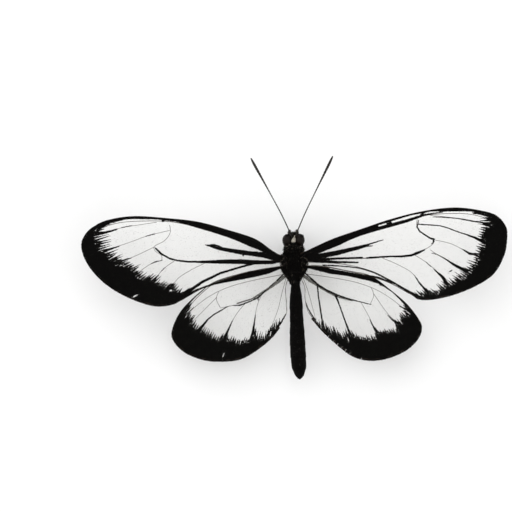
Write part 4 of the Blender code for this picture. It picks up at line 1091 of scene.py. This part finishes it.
def bodyChart(part, y, angle):
    rear, front = stretches[part]
    return np.stack([(angle / (2 * math.pi)) % 1, (y - rear) / (front - rear)], axis=-1)


def bodyCoatLayer(draw, part, shape, count, span, lengths, widths, arc=(0, 360), way=(0, -1, 0),
                  tone=darkTone, density=None, lift=0.0, tipTone=0.0, straying=0.15):
    y = draw.uniform(*span, count)
    angle = draw.uniform(*np.radians(arc), count)
    if density is not None:
        keep = draw.random(count) < density(y, angle)
        y, angle = y[keep], angle[keep]
    place = bodyPoint(y, angle, -0.01)
    normal = bodyNormal(y, angle)
    forward = np.tile(np.array(way, float), (len(y), 1)) + draw.normal(0, straying, (len(y), 3))
    forward = unit(forward - normal * np.sum(forward * normal, axis=1, keepdims=True))
    up = unit(normal - forward * lift)
    ahead = unit(forward + normal * lift)
    return layCoat(shape, place, ahead, up, draw.uniform(*lengths, len(y)), draw.uniform(*widths, len(y)),
                   tone(draw, len(y)), bodyChart(part, y, angle), tipTone)


for name, plan in bodyCoats.items():
    if "seed" in plan:
        draw = np.random.default_rng(plan["seed"])
    coatPiece(name, [bodyCoatLayer(draw, plan["part"], **layer) for layer in plan["layers"]], bodyHair)
print("body made")


# Lobes on the thorax, each a ball stretched, bent and covered with hairs
lobes = {
    "tegula": {"centre": (1.9, 0.95, 8.5), "radii": (0.48, 1.05, 0.36), "turn": -20, "tilt": -14,
               "hairs": 900, "seed": 51},
    "patagium": {"centre": (0.8, 2.95, 7.75), "radii": (0.72, 0.42, 0.3), "turn": -14, "tilt": 28,
                 "hairs": 520, "seed": 52},
}
lobeShape = {"segments": 24, "rings": 14, "droop": 0.12, "taper": 0.3}
lobeHair = {"way": (0.25, -1.0, 0.1), "lengths": (0.4, 0.8), "widths": (0.025, 0.045), "greyed": 0.04}


def buildLobe(name, plan, label):
    side, count = labels[label], plan["hairs"]
    ball = lobeShape
    bpy.ops.mesh.primitive_uv_sphere_add(segments=ball["segments"], ring_count=ball["rings"], radius=1)
    piece = bpy.context.active_object
    piece.name = piece.data.name = f"{name}_{label}"
    tilt = Matrix.Rotation(math.radians(plan["tilt"]), 3, "X")
    turn = Matrix.Rotation(math.radians(plan["turn"]), 3, "Z") @ tilt
    points = np.array([tuple(v.co) for v in piece.data.vertices])
    normals = points / np.array(plan["radii"])
    bent = points * plan["radii"]
    bent[:, 2] -= ball["droop"] * points[:, 1] ** 2
    bent[:, 0] *= 1 - ball["taper"] * points[:, 1]
    world = bent @ np.array(turn).T + plan["centre"]
    facing = unit(normals) @ np.array(turn).T
    draw = np.random.default_rng(plan["seed"])
    chosen = draw.integers(0, len(world), count)
    roots = world[chosen] + draw.normal(0, 0.04, (count, 3)) * (1, 1, 0.2)
    way = np.tile(np.array(lobeHair["way"]), (count, 1)) + draw.normal(0, 0.16, (count, 3))
    chart = 0.5 + points[chosen, :2] * 0.4
    up = unit(facing[chosen] - unit(way) * 0.25)
    tone = greyedTone(lobeHair["greyed"])
    layer = layCoat(fineHair, roots, way, up, draw.uniform(*lobeHair["lengths"], count),
                    draw.uniform(*lobeHair["widths"], count), tone(draw, count), chart, 0.05)
    coatPiece(f"{name}_hairs_{label}", [layer], bodyHair, side)
    world[:, 0] *= side
    placed = (world + bodyShift) * mm
    piece.data.vertices.foreach_set("co", placed.astype(np.float32).ravel())
    mend(piece)
    return settle(piece, bodySkin)


for label in labels:
    for name, plan in lobes.items():
        buildLobe(name, plan, label)


# Head: eyes of many domed facets, feelers, palps and tongue
eyePlan = {"centre": (1.1, 4.55, 6.52), "radii": (1.02, 1.16, 1.23), "divisions": 5, "inset": 0.008,
           "dome": 0.006, "mend": 1e-5}


def buildEye(label):
    bpy.ops.mesh.primitive_ico_sphere_add(subdivisions=eyePlan["divisions"], radius=1)
    ball = bpy.context.active_object
    source, cells = bmesh.new(), bmesh.new()
    source.from_mesh(ball.data)
    middles = [cells.verts.new(face.calc_center_median().normalized()) for face in source.faces]
    cells.verts.ensure_lookup_table()
    for vertex in source.verts:  # one facet round each point of the ball
        axis = vertex.co.normalized()
        first = axis.orthogonal().normalized()
        second = axis.cross(first)
        around = sorted(vertex.link_faces, key=lambda f: math.atan2(
            f.calc_center_median().dot(second), f.calc_center_median().dot(first)))
        cells.faces.new([middles[face.index] for face in around])
    mesh = bpy.data.meshes.new(f"eye_facets_{label}")
    cells.to_mesh(mesh)
    source.free()
    cells.free()
    bpy.data.objects.remove(ball)
    piece = makeObject(mesh.name, mesh)
    pick(piece)
    bpy.ops.object.mode_set(mode="EDIT")
    bpy.ops.mesh.select_all(action="SELECT")
    bpy.ops.mesh.inset(thickness=eyePlan["inset"], depth=eyePlan["inset"], use_individual=True)
    bpy.ops.mesh.poke(offset=eyePlan["dome"])
    bpy.ops.object.mode_set(mode="OBJECT")
    shape = Matrix.Diagonal((*eyePlan["radii"], 1))
    centre = Vector(eyePlan["centre"])
    mesh.transform(Matrix.Translation(centre) @ shape)
    mesh.transform(Matrix.Diagonal((labels[label], 1, 1, 1)))
    mesh.transform(Matrix.Scale(mm, 4) @ Matrix.Translation(Vector(bodyShift)))
    mend(piece, eyePlan["mend"])
    return settle(piece, eyeLens, [f"eye_{label}"])


def flipped(points, side):
    return np.asarray(points, float) * (side, 1, 1)


antennaPlan = {
    "path": [(0.34, 5.0, 6.9), (0.5, 5.55, 7.95), (2.1, 9.2, 9.2), (4.5, 13.9, 10.3), (6.9, 18.5, 10.9),
             (7.7, 20.1, 10.95)],
    "radii": [(0.17,), (0.12,), (0.115,), (0.12,), (0.26,), (0.12,)],
    "rings": 46, "ringDepth": 0.22, "socket": 0.26, "tip": (0.96, 0.86, 0.66, 0.22),
}


def ringed(path, radii, rings, depth):  # a path whose thickness steps at each ring
    count = rings * 4
    share = np.linspace(0, 1, count + 1)
    points = along(path, share)
    thick = along(radii, share)[:, 0]
    part = (share * rings) % 1
    return points, thick * (1 - depth * np.exp(-(np.minimum(part, 1 - part) / 0.12) ** 2))


def buildFeeler(label):
    plan = antennaPlan
    path = flipped(plan["path"], labels[label])
    points, thick = ringed(path, plan["radii"], plan["rings"], plan["ringDepth"])
    thick[:3] = plan["socket"]
    thick[-4:] *= plan["tip"]
    piece = sweep(f"antenna_horn_{label}", [(points, thick)], 2)
    return settle(piece, feelerHorn, [f"antenna_{label}"])


palpPlan = {
    "path": [(0.62, 4.6, 5.7), (0.72, 5.6, 5.15), (0.72, 6.2, 5.8), (0.68, 6.3, 6.65)],
    "radii": [(0.2,), (0.25,), (0.2,), (0.07,)],
    "coat": {"count": 700, "lengths": (0.18, 0.34), "widths": (0.025, 0.045), "lift": 0.22, "seed": 61,
             "tone": greyedTone(0.22)},
}
tonguePlan = {
    "root": [(0, 4.55, 6.0), (0, 4.45, 5.2)], "centre": (5.2, 4.15), "radii": (1.12, 0.42), "turns": 1.05,
    "start": 150, "thickness": (0.17, 0.09), "steps": 90, "apart": 0.075,
}


# Hairs round a limb; its unwrap takes up a band of the map, given by its start and its height
def tubeCoat(path, radii, count, lengths, widths, lift, seed, tone, band=(0.0, 1.0)):
    draw = np.random.default_rng(seed)
    share = draw.uniform(0.02, 0.99, count)
    angle = draw.uniform(0, 2 * math.pi, count)
    place = along(path, share)
    ahead = unit(along(path, np.minimum(share + 0.01, 1)) - along(path, np.maximum(share - 0.01, 0)))
    helper = np.tile(np.array([1.0, 0.2, 0.1]), (count, 1))
    first = unit(np.cross(ahead, helper))
    second = np.cross(ahead, first)
    normal = first * np.cos(angle)[:, None] + second * np.sin(angle)[:, None]
    root = place + normal * (along(radii, share) - 0.01)
    way = unit(ahead + normal * lift + draw.normal(0, 0.08, (count, 3)))
    up = unit(normal - ahead * lift)
    chart = np.stack([angle / (2 * math.pi), band[0] + band[1] * share], axis=1)
    return layCoat(fineHair, root, way, up, draw.uniform(*lengths, count), draw.uniform(*widths, count),
                   tone(draw, count), chart, 0.1)


def buildPalp(label):
    side = labels[label]
    share = np.linspace(0, 1, 33)
    points = flipped(along(palpPlan["path"], share), side)
    thick = along(palpPlan["radii"], share)[:, 0]
    thick *= 1 - 0.2 * np.exp(-((share - 0.42) / 0.025) ** 2) - 0.2 * np.exp(-((share - 0.8) / 0.02) ** 2)
    piece = sweep(f"palp_skin_{label}", [(points, thick)], 3)
    layer = tubeCoat(palpPlan["path"], palpPlan["radii"], **palpPlan["coat"])
    coatPiece(f"palp_hairs_{label}", [layer], bodyHair, side)
    return settle(piece, bodySkin, [f"palp_{label}"])


def buildTongue():
    plan = tonguePlan
    middleY, middleZ = plan["centre"]
    share = np.linspace(0, 1, plan["steps"])
    angle = math.radians(plan["start"]) + 2 * math.pi * plan["turns"] * share
    reach = plan["radii"][0] + (plan["radii"][1] - plan["radii"][0]) * share
    coilY, coilZ = middleY + reach * np.cos(angle), middleZ + reach * np.sin(angle)
    coil = np.stack([np.zeros_like(share), coilY, coilZ], axis=1)
    lead = along(np.concatenate([plan["root"], coil[:2]]), np.linspace(0, 0.66, 14))[:-1]
    path = np.concatenate([lead, coil])
    thick = np.linspace(*plan["thickness"], len(path)) * (1 - 0.08 * (np.arange(len(path)) % 2))
    lines = [(path + (offset, 0, 0), thick) for offset in (-plan["apart"], plan["apart"])]
    piece = sweep("proboscis_coil", lines, 2)
    return settle(piece, feelerHorn, ["proboscis"])


for label in labels:
    buildEye(label)
    buildFeeler(label)
    buildPalp(label)
buildTongue()
print("head made")


# Pale forehead between the eyes, and dark tufts at (x, y, z) over the feelers' sockets
tufts = {"places": [(-1.15, 5.2, 7.25), (0.15, 5.5, 7.05), (1.55, 5.1, 7.3)], "hairs": 110, "spread": 0.14,
         "lengths": (0.3, 0.5), "widths": (0.03, 0.05)}


def buildForehead():
    draw, count = np.random.default_rng(71), tufts["hairs"]
    layers = [bodyCoatLayer(draw, "head", **foreheadCoat)]
    for place in tufts["places"]:
        roots = place + draw.normal(0, tufts["spread"], (count, 3)) * (1, 0.6, 0.6)
        ways = np.array([0.1 * place[0], 1.0, 0.25]) + draw.normal(0, 0.22, (count, 3))
        up = np.tile([0.0, -0.2, 1.0], (count, 1))
        chart = bodyChart("head", roots[:, 1], np.arctan2(1.0, roots[:, 0]))
        layers.append(layCoat(fineHair, roots, ways, up, draw.uniform(*tufts["lengths"], count),
                              draw.uniform(*tufts["widths"], count), darkTone(draw, count), chart))
    coatPiece("forehead_scales", layers, bodyHair)


buildForehead()


# Legs: joints of the right one, lengths of horn between them, a foot of five beads, two claws and spines
legPlans = {
    "foreleg": {
        "joints": [(0.5, 1.9, 6.2), (0.95, 2.6, 4.8), (1.85, 4.1, 4.3), (1.2, 2.95, 3.05)],
        "radii": [0.3, 0.22, 0.19, 0.1], "foot": None},
    "midleg": {
        "joints": [(0.5, 0.3, 6.2), (1.3, 0.55, 4.25), (5.4, 2.9, 5.55), (8.6, 4.5, 0.7)],
        "radii": [0.4, 0.3, 0.22, 0.15], "foot": [(9.3, 4.8, 0.14), (11.6, 5.7, 0.13)]},
    "hindleg": {
        "joints": [(0.5, -1.4, 6.2), (1.2, -1.9, 4.4), (4.3, -4.2, 5.3), (7.8, -6.35, 0.7)],
        "radii": [0.4, 0.3, 0.22, 0.15], "foot": [(8.5, -6.65, 0.14), (11.0, -7.35, 0.13)]},
}
legShape = {
    "swell": 0.34, "knee": 0.05, "footRadii": (0.12, 0.11), "footSwell": 0.36,
    "beads": (0, 0.2, 0.42, 0.62, 0.8, 1),  # from the ankle to the toe
    "claw": [(0, 0, 0), (0.16, 0.09, 0.03), (0.27, 0.13, -0.09)],  # ahead of the toe, aside and up
    "clawRadii": (0.05, 0.012), "soleLevel": 0.02, "hairLevel": 0.01,
    "spines": (0.45, 0.62, 0.8, 0.97), "spineReach": (0.28, 0.24),  # shares of the shin; down it and aside
    "spineRadii": [0.035, 0.028, 0.008],
}
legHairs = [260, 420, 420]  # on each length, from the hip down
legCoat = {"lengths": (0.16, 0.3), "widths": (0.03, 0.055), "lift": 0.12, "tone": greyedTone(0.12)}
footCoat = {"count": 300, "lengths": (0.1, 0.16), "widths": (0.02, 0.035), "lift": 0.1, "seed": 91,
            "tone": greyedTone(0.15), "band": (0.75, 0.24)}


def bone(start, end, startRadius, endRadius, swell, count=12):  # one length of a leg, slim at its joints
    share = np.linspace(0, 1, count)
    points = np.array(start) + (np.array(end) - np.array(start)) * share[:, None]
    thick = startRadius + (endRadius - startRadius) * share
    thick = thick * (0.72 + swell * np.sin(np.pi * np.clip(share * 1.05, 0, 1)) ** 0.6)
    return points, thick


def footLines(last, shinTop, foot):  # beads, claws and shin spines of one leg, and the path of its foot
    ankle, toe = (np.array(p) for p in foot)
    path = np.concatenate([[last], [ankle + (toe - ankle) * s for s in legShape["beads"]]])
    lines = [bone(a, b, *legShape["footRadii"], legShape["footSwell"], 8) for a, b in zip(path, path[1:])]
    ahead, shin = unit(toe - ankle), last - shinTop
    cross = np.array([-ahead[1], ahead[0], 0])
    for hook in (-1, 1):
        claw = [toe + ahead * far + cross * aside * hook + (0, 0, up) for far, aside, up in legShape["claw"]]
        lines.append((along(claw, np.linspace(0, 1, 6)), np.linspace(*legShape["clawRadii"], 6)))
    down, aside = legShape["spineReach"]
    for share in legShape["spines"]:
        root = shinTop + shin * share
        for hook in (-1, 1):
            tip = root + unit(shin) * down + cross * aside * hook
            lines.append((np.array([root, (root + tip) / 2, tip]), legShape["spineRadii"]))
    return lines, path


def buildLeg(kind, label):
    plan, side = legPlans[kind], labels[label]
    joints, radii = np.array(plan["joints"]), plan["radii"]
    lines, layers = [], []
    for k, count in enumerate(legHairs):
        points, thick = bone(joints[k], joints[k + 1], radii[k], radii[k + 1], legShape["swell"])
        lines.append((points, thick))
        knee, rise = joints[k + 1], (0, 0, legShape["knee"])
        lines.append((np.array([knee + rise, knee, knee - rise]), radii[k + 1] * np.array([0.6, 0.95, 0.6])))
        layers.append(tubeCoat(points, thick[:, None], count, seed=81 + k, band=(k / 4, 0.24), **legCoat))
    if plan["foot"]:
        more, path = footLines(joints[-1], joints[-2], plan["foot"])
        lines += more
        layers.append(tubeCoat(path[1:], np.full((len(path) - 1, 1), 0.1), **footCoat))
        for layer in layers:
            layer[0][:, 2] = np.maximum(layer[0][:, 2], legShape["hairLevel"])
    floor = (-math.inf, -math.inf, legShape["soleLevel"])
    lines = [(np.maximum(flipped(points, side), floor), thick) for points, thick in lines]
    piece = sweep(f"{kind}_horn_{label}", lines, 2)
    coatPiece(f"{kind}_scales_{label}", layers, bodyHair, side)
    return settle(piece, legHorn, [f"{kind}_{label}"])


for kind in legPlans:
    for label in labels:
        buildLeg(kind, label)
print("legs made")


# Floor, light and camera. Each lamp: its direction round the table and above it in degrees, its strength, how
# wide it is.
stagePlan = {"floorSize": 3.0, "floorColour": (0.94, 0.94, 0.938), "skyStrength": 0.68,
             "lamps": {"keyLamp": (125, 58, 1.2, 70), "fillLamp": (-40, 52, 0.55, 90)},
             "roll": 1.45, "middle": (-7.197, 1.687), "wingLevel": 10.5, "frameWidth": 96.24, "lens": 150.0,
             "sensor": 36.0}

bpy.ops.mesh.primitive_plane_add(size=stagePlan["floorSize"], location=(0, 0, 0))
floor = bpy.context.active_object
floor.name = "floor"
floorPaint, floorTree, floorShader = newMaterial("paleFloor")
floorShader.inputs["Base Color"].default_value = (*stagePlan["floorColour"], 1)
fill(floorShader, Roughness=0.9, Specular_IOR_Level=0.1)
floor.data.materials.append(floorPaint)

world = bpy.data.worlds.new("softSky")
world.use_nodes = True
world.node_tree.nodes["Background"].inputs["Color"].default_value = (1.0, 1.0, 1.0, 1)
world.node_tree.nodes["Background"].inputs["Strength"].default_value = stagePlan["skyStrength"]
bpy.context.scene.world = world
bpy.context.scene.view_settings.view_transform = "Standard"

for name, (around, above, strength, width) in stagePlan["lamps"].items():
    lamp = bpy.data.lights.new(name, "SUN")
    lamp.energy, lamp.angle = strength, math.radians(width)
    lampObject = bpy.data.objects.new(name, lamp)
    bpy.context.scene.collection.objects.link(lampObject)
    lampObject.rotation_euler = (math.radians(90 - above), 0, math.radians(around + 90))

camera = bpy.data.cameras.new("camera")
camera.lens, camera.sensor_width = stagePlan["lens"], stagePlan["sensor"]
cameraObject = bpy.data.objects.new("camera", camera)
bpy.context.scene.collection.objects.link(cameraObject)
away = stagePlan["frameWidth"] * camera.lens / camera.sensor_width + stagePlan["wingLevel"]
cameraObject.location = (Vector((*stagePlan["middle"], away)) + Vector(bodyShift)) * mm
cameraObject.rotation_euler = (0, 0, -math.radians(stagePlan["roll"]))
camera.clip_start, camera.clip_end = 0.01, 10.0
bpy.context.scene.camera = cameraObject
print("stage made")
